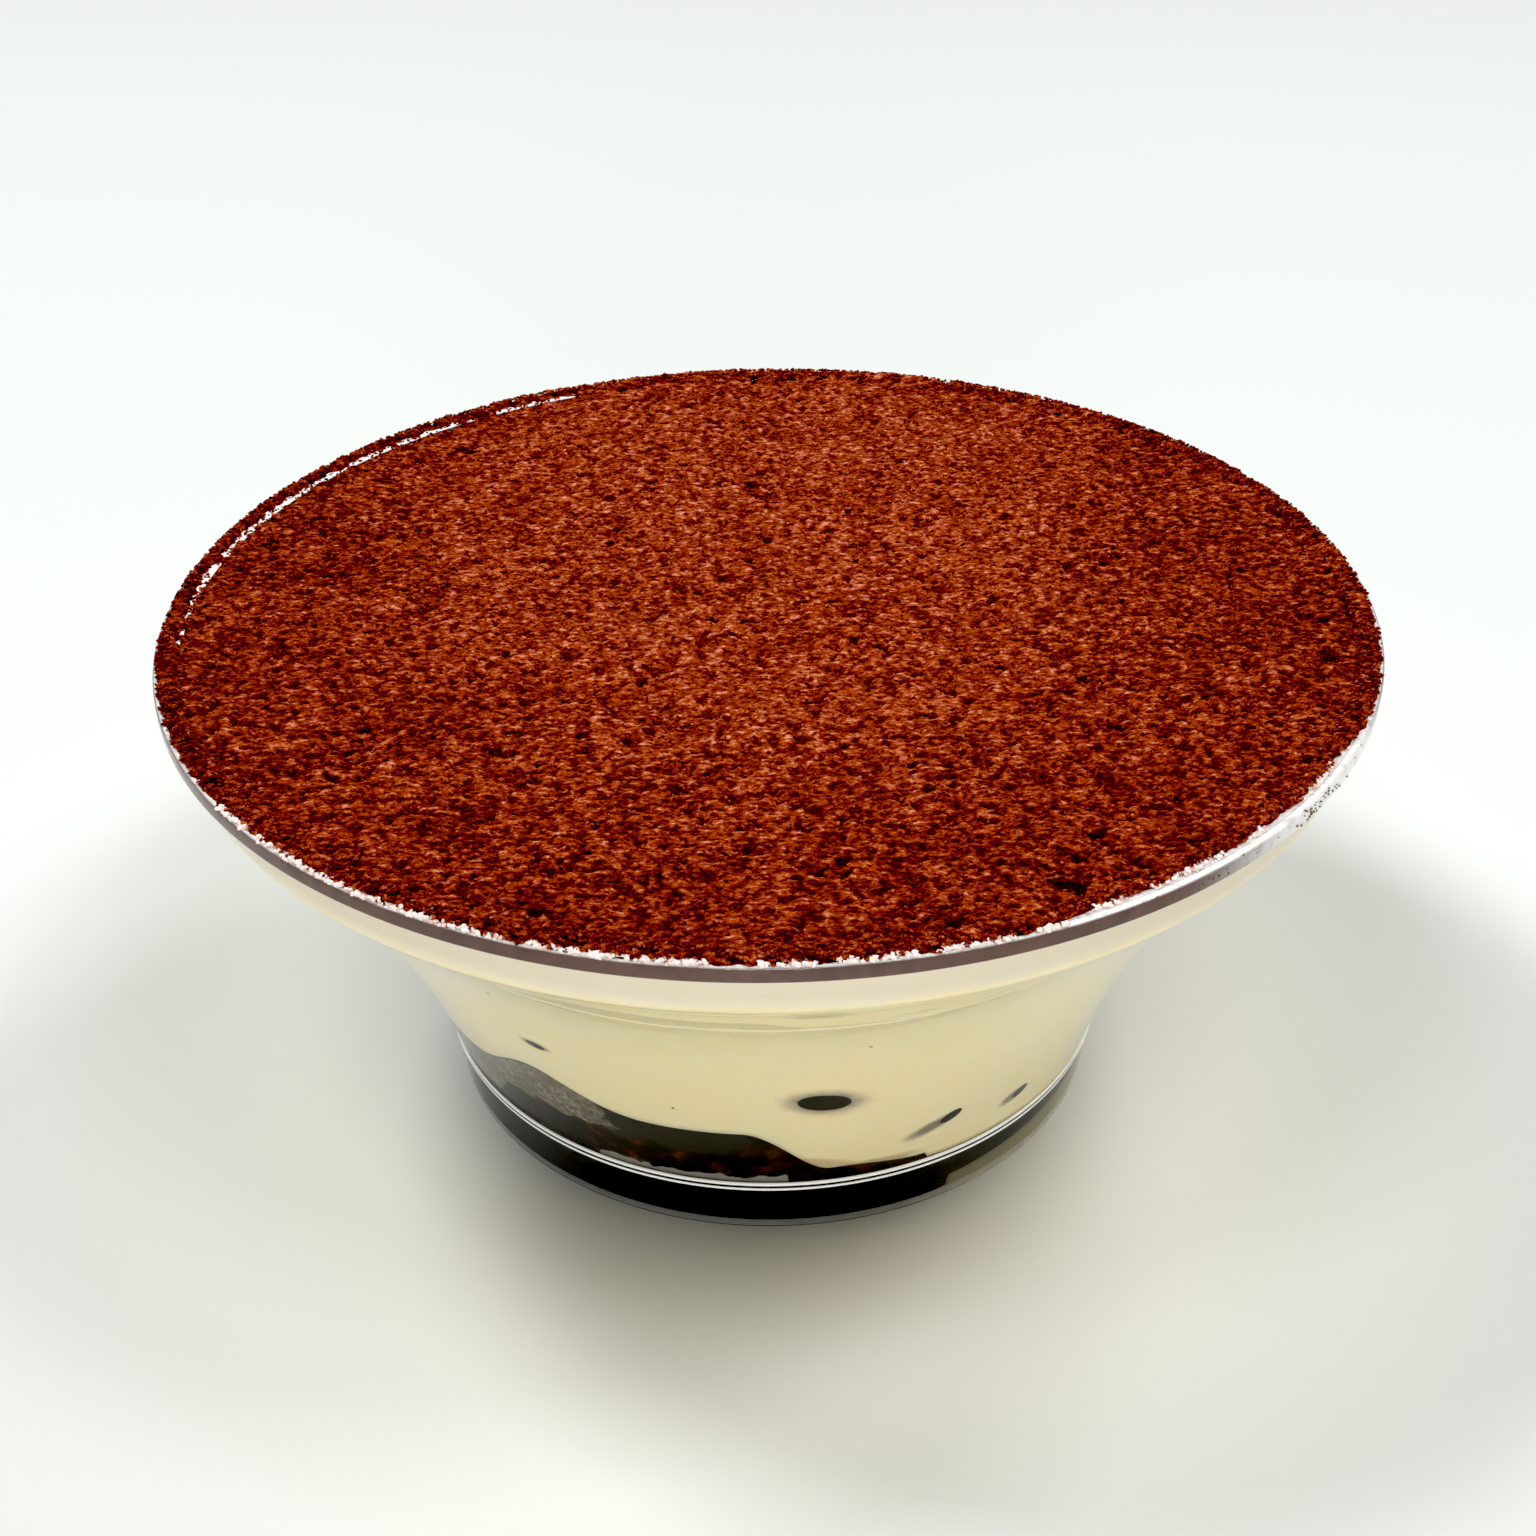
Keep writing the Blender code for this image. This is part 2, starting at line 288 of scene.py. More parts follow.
@dataclass(frozen=True)
class SoakedSponge:
    """Coffee-soaked sponge: wet and nearly black, grey where it only just meets the wall, with painted
    light in small pale hollows.
    """

    name: str = "soaked_sponge_look"
    wet: tuple = (0.0012, 0.0004, 0.0002)
    brown: tuple = (0.040, 0.011, 0.005)
    tan: tuple = (0.130, 0.060, 0.028)
    olive: tuple = (0.021, 0.018, 0.012)
    grey: tuple = (0.108, 0.086, 0.054)
    pale_grey: tuple = (0.46, 0.42, 0.34)
    # Painted light: the pale of small hollows at the sponge's foot, where light shows between sponge and
    # wall.
    hollow_light: tuple = (0.27, 0.24, 0.21)
    roughness: float = 0.35

    def material(self) -> bpy.types.Material:
        """Build the material from the mesh's numbers "dry" and "film", and its number for painted light in
        small hollows.
        """
        graph = NodeGraph(self.name)
        blotch = graph.noise(1.8, detail=5.0, roughness=0.65)
        stops = ((0.50, self.wet), (0.62, self.brown), (0.72, self.tan))
        colour = graph.ramp(blotch, stops)
        ragged = graph.math("SUBTRACT", graph.noise(1.1, detail=5.0, roughness=0.6), 0.5)
        film = self.torn(graph, "film", ragged)
        colour = graph.mix(film, colour, self.olive)
        mottle = graph.span(graph.noise(0.5, detail=5.0, roughness=0.75), 0.42, 0.68)
        broad = graph.span(graph.noise(2.6), 0.3, 0.7, 0.25, 1.0)
        frosted = graph.mix(graph.math("MULTIPLY", mottle, broad), self.grey, self.pale_grey)
        colour = graph.mix(self.torn(graph, "dry", ragged), colour, frosted)
        # Painted light in small hollows along the sponge's foot.
        colour = graph.mix(self.torn(graph, "hollow_light", ragged), colour, self.hollow_light)
        sponge = graph.add("ShaderNodeBsdfPrincipled", {
            "Base Color": colour,
            "Roughness": self.roughness,
            "Specular IOR Level": 0.05,
            "Normal": graph.bump(graph.noise(0.7), 0.15),
        })
        return graph.surface(sponge.outputs[0])

    def torn(self, graph: NodeGraph, name: str, ragged: bpy.types.NodeSocket) -> bpy.types.NodeSocket:
        """Return a number kept on the mesh, with its edge torn by noise."""
        level = graph.math("MULTIPLY_ADD", ragged, 1.3, graph.attribute(name))
        return graph.span(level, 0.40, 0.62)


@dataclass(frozen=True)
class CocoaPowder:
    """Dry clumped cocoa with painted light: orange and pink highlights on its crests, dark maroon shade in
    its pits.
    """

    # Ramp colours: the powder's browns, with painted shade at the pit end and painted highlight at the
    # pink end.
    pit: tuple = (0.032, 0.0060, 0.0060)
    dark: tuple = (0.135, 0.0130, 0.0080)
    body: tuple = (0.335, 0.036, 0.010)
    orange: tuple = (0.530, 0.106, 0.018)
    pink: tuple = (0.800, 0.310, 0.210)
    roughness: float = 0.95
    streak_turn: float = math.radians(12.0)

    def material(self, name: str) -> bpy.types.Material:
        """Build the material, painted lighter where the mesh's number "high" is greater and darker where
        it is less.
        """
        graph = NodeGraph(name)
        streak = graph.noise(0.36, 4.0, 0.68, (0.48, 1.0, 1.0), self.streak_turn)
        patch = graph.noise(3.2, 3.0)
        # The number "high" carries painted light and shade: lighter on crests, darker in pits.
        high = graph.attribute("high")
        level = graph.math("MULTIPLY_ADD", graph.math("SUBTRACT", streak, 0.5), 2.8, high)
        level = graph.math("MULTIPLY_ADD", graph.math("SUBTRACT", patch, 0.5), 0.35, level)
        stops = ((0.10, self.pit), (0.36, self.dark), (0.60, self.body), (0.86, self.orange),
                 (1.0, self.pink))
        # Thin painted pink highlights along the lit crests.
        highlight_thread = graph.noise(0.50, 2.0, 0.5, (0.45, 1.0, 1.0), self.streak_turn)
        highlight_thread = graph.math("ABSOLUTE", graph.math("SUBTRACT", highlight_thread, 0.5))
        highlight_thread = graph.span(highlight_thread, 0.0, 0.030, 0.55, 0.0)
        highlight_thread = graph.math("MULTIPLY", highlight_thread, graph.span(level, 0.45, 0.80))
        powder = graph.add("ShaderNodeBsdfPrincipled", {
            "Base Color": graph.mix(highlight_thread, graph.ramp(level, stops), self.pink),
            "Roughness": self.roughness,
            "Specular IOR Level": 0.15,
            "Normal": graph.bump(streak, 0.35),
        })
        return graph.surface(powder.outputs[0])


@dataclass(frozen=True)
class CrumbAndGlint:
    """Grains of two colours, such as the whitish painted glints on the rim's front edge, or dull crumbs.
    """

    name: str = "pale_glint_look"
    # Defaults: painted glints of the rim's bare top, white tinged pink.
    white: tuple = (0.94, 0.84, 0.79)
    pink: tuple = (0.66, 0.36, 0.26)
    roughness: float = 0.6

    def material(self) -> bpy.types.Material:
        """Build the material."""
        graph = NodeGraph(self.name)
        tint = graph.span(graph.noise(0.9, 3.0), 0.5, 0.7)
        crumb = graph.add("ShaderNodeBsdfPrincipled", {
            "Base Color": graph.mix(tint, self.white, self.pink),
            "Roughness": self.roughness,
        })
        return graph.surface(crumb.outputs[0])


DULL_CRUMB = CrumbAndGlint("dull_crumb_look", (0.16, 0.10, 0.07), (0.40, 0.32, 0.25))


@dataclass(frozen=True)
class BrightEdge:
    """The white glint that a moulded edge of clear plastic gathers."""

    colour: tuple = (0.95, 0.95, 0.93)
    roughness: float = 0.25
    glow: float = 0.16

    def material(self) -> bpy.types.Material:
        """Build the material."""
        graph = NodeGraph("bright_edge_look")
        edge = graph.add("ShaderNodeBsdfPrincipled", {
            "Base Color": (*self.colour, 1.0),
            "Roughness": self.roughness,
            "Emission Color": (*self.colour, 1.0),
            "Emission Strength": self.glow,
        })
        return graph.surface(edge.outputs[0])


@dataclass(frozen=True)
class RimCore:
    """The rim's inside, painted with light: a pale glint of its top, and through its face a mauve image of
    the powder on it.
    """

    # Painted reflection: the pale and grey of the rim's glossy top.
    pale: tuple = (0.97, 0.94, 0.92)
    grey: tuple = (0.70, 0.66, 0.61)
    # Painted image of the powder, seen mauve through the rim's face.
    mauve: tuple = (0.130, 0.052, 0.032)
    dark_mauve: tuple = (0.080, 0.030, 0.018)
    roughness: float = 0.5

    def material(self) -> bpy.types.Material:
        """Build the material, with the painted mauve image of the powder where the mesh's number for it is
        1.
        """
        graph = NodeGraph("rim_core_look")
        patchy = graph.span(graph.noise(1.4, 4.0, 0.6), 0.35, 0.70)
        painted_mauve = graph.mix(patchy, self.mauve, self.dark_mauve)
        clean = graph.mix(graph.span(graph.noise(1.0, 3.0), 0.52, 0.75), self.pale, self.grey)
        core = graph.add("ShaderNodeBsdfPrincipled", {
            "Base Color": graph.mix(graph.attribute("painted_mauve"), clean, painted_mauve),
            "Roughness": self.roughness,
        })
        return graph.surface(core.outputs[0])


@dataclass(frozen=True)
class PaleFloor:
    """The plain pale surface that the cup stands on."""

    colour: tuple = (0.828, 0.858, 0.838)
    roughness: float = 0.7

    def material(self) -> bpy.types.Material:
        """Build the material."""
        graph = NodeGraph("floor_look")
        floor = graph.add("ShaderNodeBsdfPrincipled", {
            "Base Color": (*self.colour, 1.0),
            "Roughness": self.roughness,
            "Specular IOR Level": 0.2,
        })
        return graph.surface(floor.outputs[0])


def finish_piece(name: str, shape: bmesh.types.BMesh, material: bpy.types.Material,
                 smooth: bool = True) -> bpy.types.Object:
    """Make a piece of the object from a bmesh.

    Args:
        name: The piece's name.
        shape: Its shape, freed here.
        material: Its finish.
        smooth: Whether its faces are shaded smooth.

    Returns:
        The piece, riding on the one body.
    """
    mesh = bpy.data.meshes.new(name)
    shape.to_mesh(mesh)
    shape.free()
    if smooth:
        mesh.shade_smooth()
    mesh.materials.append(material)
    piece = bpy.data.objects.new(name, mesh)
    bpy.context.scene.collection.objects.link(piece)
    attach(piece, BODY)
    return piece


def spun(profile: Sequence[tuple[float, float]], steps: int) -> bmesh.types.BMesh:
    """Spin a profile of (radius, height) points once round Z, with its poles closed.

    Args:
        profile: Points in the plane of X and Z.
        steps: Number of steps round.

    Returns:
        The closed shape, its faces outwards.
    """
    shape = bmesh.new()
    points = [shape.verts.new((radius, 0.0, height)) for radius, height in profile]
    edges = [shape.edges.new(pair) for pair in zip(points, points[1:])]
    bmesh.ops.spin(
        shape, geom=points + edges, cent=(0.0, 0.0, 0.0), axis=(0.0, 0.0, 1.0),
        angle=2.0 * math.pi, steps=steps, use_merge=True,
    )
    bmesh.ops.remove_doubles(shape, verts=shape.verts, dist=1e-6)
    bmesh.ops.recalc_face_normals(shape, faces=shape.faces)
    return shape


def coordinates(mesh: bpy.types.Mesh) -> np.ndarray:
    """Return a mesh's points as an array of rows."""
    flat = np.empty(len(mesh.vertices) * 3)
    mesh.vertices.foreach_get("co", flat)
    return flat.reshape(-1, 3)


def move_points(mesh: bpy.types.Mesh, points: np.ndarray) -> None:
    """Put a mesh's points at new places."""
    mesh.vertices.foreach_set("co", points.ravel())
    mesh.update()


def set_numbers(mesh: bpy.types.Mesh, name: str, values: np.ndarray) -> None:
    """Keep one number for each point of a mesh."""
    layer = mesh.attributes.new(name, "FLOAT", "POINT")
    layer.data.foreach_set("value", values.astype(np.float32))


def front_angles(points: np.ndarray) -> np.ndarray:
    """Return the angle of each point round from the front, in degrees."""
    return np.degrees(np.arctan2(points[:, 0], -points[:, 1]))


@dataclass
class Waves:
    """Smooth seeded noise over a plane, for shapes."""

    seed: int
    size: int = 64
    lattice: np.ndarray = field(init=False)

    def __post_init__(self) -> None:
        """Draw the lattice of random levels."""
        self.lattice = np.random.default_rng(self.seed).uniform(-1.0, 1.0, (self.size, self.size))

    def at(self, u: np.ndarray, v: np.ndarray) -> np.ndarray:
        """Return the noise at places counted in features, from -1 to 1."""
        low_u = np.floor(u).astype(int)
        low_v = np.floor(v).astype(int)
        part_u = smoothstep(0.0, 1.0, u - low_u)
        part_v = smoothstep(0.0, 1.0, v - low_v)
        corners = [
            self.lattice[(low_u + right) % self.size, (low_v + up) % self.size]
            for right, up in ((0, 0), (1, 0), (0, 1), (1, 1))
        ]
        below = corners[0] + (corners[1] - corners[0]) * part_u
        above = corners[2] + (corners[3] - corners[2]) * part_u
        return below + (above - below) * part_v


@dataclass
class ClearCup:
    """The clear cup, turned from one section."""

    plastic: ClearPlastic
    rim_radius: float
    rim_top: float
    rim_face: float = 1.3 * MM
    collar_top_radius: float = 48.7 * MM
    collar_foot_radius: float = 48.2 * MM
    collar_foot_z: float = 37.8 * MM
    ridge_radius: float = 29.2 * MM
    ridge_z: float = 5.0 * MM
    bead: float = 0.15 * MM
    foot_radius: float = 28.6 * MM
    flare_sag: float = 2.5 * MM
    wall: float = 0.8 * MM
    base_recess: float = 0.5 * MM
    foot_edge: float = 0.3 * MM
    floor_top: float = 5.3 * MM
    steps: int = 288
    wall_steps: int = 24

    def flare_radius(self, height: np.ndarray, inset: float) -> np.ndarray:
        """Return the flare's radius at a height, on a surface set in along its normal."""
        run = self.collar_foot_radius - self.ridge_radius
        rise = self.collar_foot_z - self.ridge_z
        chord = math.hypot(run, rise)
        arc = (chord ** 2 / 4.0 + self.flare_sag ** 2) / (2.0 * self.flare_sag)
        away = arc - self.flare_sag
        centre_r = (self.collar_foot_radius + self.ridge_radius) / 2.0 + away * rise / chord
        centre_z = (self.collar_foot_z + self.ridge_z) / 2.0 - away * run / chord
        return centre_r - np.sqrt((arc + inset) ** 2 - (height - centre_z) ** 2)

    def collar_radius(self, height: np.ndarray, inset: float) -> np.ndarray:
        """Return the collar's radius at a height, on a surface set in by inset."""
        share = (height - self.collar_foot_z) / (self.rim_top - self.collar_foot_z)
        spread = self.collar_top_radius - self.collar_foot_radius
        return self.collar_foot_radius + share * spread - inset

    def wall_radius(self, height: np.ndarray, inset: float) -> np.ndarray:
        """Return the wall's radius at a height, set in from its outside."""
        return np.minimum(self.flare_radius(height, inset), self.collar_radius(height, inset))

    def side(self, low: float, high: float, inset: float, corner: float) -> list:
        """Return section points (radius, height, rounding) up the wall."""
        bend = self.collar_foot_z + inset * math.tan(math.radians(22.5))
        heights = np.linspace(low, bend, self.wall_steps + 1)
        points = [(float(self.wall_radius(z, inset)), float(z), 0.0) for z in heights]
        points[-1] = (points[-1][0], points[-1][1], corner)
        return points + [(float(self.wall_radius(high, inset)), high, 0.0)]

    def section(self) -> list[tuple[float, float]]:
        """Return the cup's section from the axis up the inside, over the rim and down."""
        under_rim = self.rim_top - self.rim_face
        inside = [(0.0, self.floor_top, 0.0)]
        inside += self.side(self.floor_top, self.rim_top, self.wall, 0.4 * MM)
        inside[-1] = (inside[-1][0], inside[-1][1], 0.15 * MM)
        rim = [
            (self.rim_radius, self.rim_top, 0.25 * MM),
            (self.rim_radius, under_rim, 0.2 * MM),
        ]
        outside = self.side(self.ridge_z + 0.35 * MM, under_rim, 0.0, 0.5 * MM)[::-1]
        outside[0] = (outside[0][0], outside[0][1], 0.2 * MM)
        skirt = self.ridge_radius - 0.25 * MM
        foot = [
            (self.ridge_radius + self.bead, self.ridge_z + 0.2 * MM, 0.1 * MM),
            (self.ridge_radius + self.bead, self.ridge_z - 0.3 * MM, 0.1 * MM),
            (skirt, self.ridge_z - 0.5 * MM, 0.1 * MM),
            (self.foot_radius, 0.0, 0.08 * MM),
            (self.foot_radius - self.foot_edge, 0.0, 0.08 * MM),
            (self.foot_radius - self.foot_edge - self.base_recess, self.base_recess, 0.2 * MM),
            (0.0, self.base_recess, 0.0),
        ]
        return self.rounded(inside + rim + outside + foot)

    def rounded(self, corners: list) -> list[tuple[float, float]]:
        """Round the corners of a section.

        Args:
            corners: Points (radius, height, rounding).

        Returns:
            Points (radius, height), with an arc of three steps at each rounded corner.
        """
        points = []
        for index, (radius, height, rounding) in enumerate(corners):
            here = Vector((radius, height))
            if rounding <= 0.0:
                points.append((radius, height))
                continue
            before = Vector(corners[index - 1][:2]) - here
            after = Vector(corners[index + 1][:2]) - here
            reach = min(rounding, before.length * 0.45, after.length * 0.45)
            start = here + before.normalized() * reach
            end = here + after.normalized() * reach
            for step in range(5):
                share = step / 4.0
                near = start.lerp(here, share)
                far = here.lerp(end, share)
                points.append(tuple(near.lerp(far, share)))
        return points

    def build(self) -> bpy.types.Object:
        """Build the cup in place of its solid."""
        shape = spun(self.section(), self.steps)
        cup = finish_piece("clear_cup", shape, self.plastic.material())
        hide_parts("cup")
        return cup

    def build_bright_edges(self, edge: BrightEdge) -> list[bpy.types.Object]:
        """Build the painted glints: thin bright lines along the ridge, and a bright ring on the rim's top,
        seen where the powder leaves a gap.
        """
        material = edge.material()
        lines = {
            "ridge_glint_upper": (self.ridge_radius + 0.10 * MM, self.ridge_z + 0.30 * MM, 0.165 * MM),
            "ridge_glint_lower": (self.ridge_radius + 0.04 * MM, self.ridge_z - 0.28 * MM, 0.125 * MM),
        }
        high = self.rim_top + 0.015 * MM
        low = self.rim_top - 0.05 * MM
        inner, outer = self.collar_top_radius - 0.78 * MM, self.collar_top_radius + 0.10 * MM
        ring = [(inner, low), (inner, high), (outer, high), (outer, low), (inner, low)]
        top = spun(ring, self.steps)
        pieces = [finish_piece("rim_glint", top, material, smooth=False)]
        for name, (radius, height, thick) in lines.items():
            turns = [math.tau * step / 8.0 for step in range(9)]
            ring = [(radius + thick * math.cos(t), height + thick * math.sin(t)) for t in turns]
            shape = spun(ring, self.steps)
            pieces.append(finish_piece(name, shape, material))
        return pieces

    def build_rim_core(self, core: RimCore) -> bpy.types.Object:
        """Build the inside of the rim, just under its clear skin."""
        outer = self.rim_radius - 0.07 * MM
        top = self.rim_top - 0.06 * MM
        low = self.rim_top - self.rim_face + 0.06 * MM
        inner = self.collar_top_radius - 0.55 * MM
        line = outer - 0.55 * MM
        corners = [(inner, top), (line - 0.08 * MM, top), (line, top), (line + 0.08 * MM, top)]
        corners += [(outer - 0.12 * MM, top), (outer, top - 0.12 * MM), (outer, low)]
        shape = spun(corners + [(inner, low), (inner, top)], self.steps)
        piece = finish_piece("rim_core", shape, core.material(), smooth=False)
        points = coordinates(piece.data)
        radius = np.hypot(points[:, 0], points[:, 1])
        # Painted mauve on the face where powder lies on the rim, and a painted dark line across the glint
        # of its top.
        face = radius > outer - 0.01 * MM
        painted_dark_line = 0.5 * (np.abs(radius - line) < 0.01 * MM)
        angle = front_angles(points)
        clean = smoothstep(34.0, 50.0, angle) * smoothstep(72.0, 62.0, angle)
        set_numbers(piece.data, "painted_mauve", face * (1.0 - clean) + painted_dark_line)
        return piece


@dataclass
class SpongeForm:
    """The form of the soaked sponge on the cup's floor, at each angle round from the front."""

    cup: ClearCup
    gap: float = 0.3 * MM
    deep: float = 7.2 * MM
    thin: float = 1.6 * MM
    edge: float = 0.4 * MM
    hump: float = 3.8 * MM
    hump_at: float = -37.0
    hump_width: float = 9.0
    step: tuple = (-5.0, 9.0)
    tail: tuple = (9.0, 25.0)
    back: tuple = (125.0, 190.0)
    short: tuple = (25.0, 45.0)
    again: tuple = (95.0, 120.0)
    least_reach: float = 0.62
    swell: float = 1.2 * MM

    def base(self) -> float:
        """Return the height that the sponge's thickness is counted from."""
        return self.cup.floor_top + self.gap

    def turned(self, angle: np.ndarray) -> np.ndarray:
        """Return angles counted on past the back, so that the sponge's form has no seam."""
        return np.where(angle < self.back[1] - 360.0, angle + 360.0, angle)

    def thickness(self, angle: np.ndarray) -> np.ndarray:
        """Return the sponge's thickness at the wall."""
        angle = self.turned(angle)
        step = smoothstep(*self.step, angle)
        tail = smoothstep(*self.tail, angle)
        back = smoothstep(*self.back, angle)
        shallow = self.thin + (self.edge - self.thin) * tail
        level = self.deep + (shallow - self.deep) * step * (1.0 - back)
        away = (angle - self.hump_at) / self.hump_width
        return level + self.hump * np.exp(-away * away)

    def reach(self, angle: np.ndarray) -> np.ndarray:
        """Return the share of the way to the wall that the sponge covers."""
        angle = self.turned(angle)
        short = smoothstep(*self.short, angle) * (1.0 - smoothstep(*self.again, angle))
        return 1.0 - (1.0 - self.least_reach) * short

    def middle(self, share: np.ndarray, angle: np.ndarray) -> np.ndarray:
        """Return the sponge's thickness part of the way out."""
        even = (self.deep + self.thin) / 2.0
        swell = self.swell * np.sin(np.radians(angle) * 3.0) * np.minimum(share * 2.0, 1.0)
        at_wall = self.thickness(angle)
        return even + swell + (at_wall - even - swell) * smoothstep(0.25, 1.0, share)


@dataclass
class Layers:
    """The sponge below and the cream above it, both reaching just into the cup's plastic."""

    cup: ClearCup
    form: SpongeForm
    cream_top: float = 41.7 * MM
    into_wall: float = 0.12 * MM
    seam: float = 0.03 * MM
    sunk: float = 0.42 * MM
    steps: int = 480

    def wall_at(self, height: np.ndarray) -> np.ndarray:
        """Return the radius of the contents' outside at a height."""
        return self.cup.wall_radius(height, self.cup.wall - self.into_wall)

    def underside(self) -> float:
        """Return the height of the contents' underside."""
        return self.cup.floor_top - self.into_wall

    def ragged(self, angle: np.ndarray) -> np.ndarray:
        """Return small ups and downs of the line between sponge and cream."""
        waves = Waves(seed=11).at(angle / 5.0 + 90.0, angle * 0.0)
        return 0.15 * MM * waves * smoothstep(-20.0, -40.0, angle) * smoothstep(-175.0, -150.0, angle)

    def sponge_top(self, share: np.ndarray, angle: np.ndarray) -> np.ndarray:
        """Return the height of the sponge's top part of the way out."""
        thick = self.form.middle(share, angle)
        seen = smoothstep(20.0, 5.0, angle) * smoothstep(-175.0, -115.0, angle)
        sunk = self.sunk * seen * (1.0 + smoothstep(-26.0, -41.0, angle))
        return self.form.base() + thick + (self.ragged(angle) - sunk) * smoothstep(0.6, 1.0, share)

    def placed(self, radius: np.ndarray, angle: np.ndarray, height: np.ndarray) -> np.ndarray:
        """Return points at a radius, an angle from the front and a height."""
        around = np.radians(angle)
        return np.stack([radius * np.sin(around), -radius * np.cos(around), height], axis=1)

    def build_sponge(self, sponge: SoakedSponge) -> bpy.types.Object:
        """Build the sponge in place of its solid."""
        top = [(step / 16.0, 1.0) for step in range(17)]
        side = [(1.0, 1.0 - step / 40.0) for step in range(1, 40)]
        base = [(1.0 - step / 8.0, 0.0) for step in range(9)]
        shape = spun(top + side + base, self.steps)
        piece = finish_piece("soaked_sponge", shape, sponge.material())
        unit = coordinates(piece.data)
        share = np.minimum(np.hypot(unit[:, 0], unit[:, 1]), 1.0)
        angle = front_angles(unit)
        low = self.underside()
        height = low + (self.sponge_top(share, angle) - low) * unit[:, 2]
        edge = np.where(share > 0.9999, self.wall_at(height), self.wall_at(low))
        over = np.where(unit[:, 2] > 0.9999, self.wall_at(self.sponge_top(share * 0.0 + 1.0, angle)), edge)
        radius = over * share * self.form.reach(angle)
        move_points(piece.data, self.placed(radius, angle, height))
        dry = self.dryness(angle, height) * smoothstep(-80.0, -66.0, angle)
        set_numbers(piece.data, "dry", dry * smoothstep(-22.0, -30.0, angle))
        set_numbers(piece.data, "film", dry * smoothstep(2.0, -10.0, angle))
        at_wall = smoothstep(0.93, 0.99, share)
        # Painted light in small hollows, only at the wall.
        set_numbers(piece.data, "hollow_light", self.hollow_light_share(angle, height) * at_wall)
        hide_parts("sponge")
        return piece

    def dryness(self, angle: np.ndarray, height: np.ndarray) -> np.ndarray:
        """Return how grey the sponge looks at the wall, from 0 where it is wet."""
        waves = Waves(seed=23)
        line = 9.4 + 0.6 * waves.at(angle / 5.0 + 60.0, angle * 0.0)
        line = line - 3.0 * smoothstep(-47.0, -53.0, angle)
        grey = np.clip(0.5 + (height / MM - line) / 1.6, 0.0, 1.0)
        top = self.sponge_top(angle * 0.0 + 1.0, angle)
        return grey * smoothstep(0.02, 0.14, (top - height) / MM)

    def hollow_light_share(self, angle: np.ndarray, height: np.ndarray) -> np.ndarray:
        """Return where painted light shows pale in small hollows along the sponge's foot."""
        waves = Waves(seed=29)
        top = 6.0 + 0.35 * waves.at(angle * 0.8 + 80.0, angle * 0.0)
        low = np.clip(0.5 - (height / MM - top) / 0.9, 0.0, 1.0)
        span = smoothstep(-31.0, -29.0, angle) * smoothstep(3.0, 1.0, angle)
        return low * span

    def build_cream(self, cream: MascarponeCream, halos: Iterable[Halo]) -> bpy.types.Object:
        """Build the cream in place of its solid."""
        top = [(step / 6.0, 2.0) for step in range(7)]
        side = [(1.0, 2.0 - step / 48.0) for step in range(1, 48)]
        under = [(1.0 - step / 32.0, 1.0) for step in range(33)]
        shape = spun(top + side + under, self.steps)
        piece = finish_piece("mascarpone_cream", shape, cream.material(halos))
        unit = coordinates(piece.data)
        share = np.minimum(np.hypot(unit[:, 0], unit[:, 1]), 1.0)
        angle = front_angles(unit)
        level = unit[:, 2] - 1.0
        reach = self.form.reach(angle)
        within = share / reach
        covered = np.where(reach > 0.9995, 1.0, smoothstep(1.0, 0.96, within))
        over_sponge = self.sponge_top(np.minimum(within, 1.0), angle) + self.seam
        low = self.underside() + (over_sponge - self.underside()) * covered
        height = low + (self.cream_top - low) * level
        radius = np.where(share > 0.9999, self.wall_at(height), self.wall_at(low) * share)
        radius = np.where(level > 0.9999, self.wall_at(height) * share, radius)
        move_points(piece.data, self.placed(radius, angle, height))
        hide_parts("cream")
        return piece


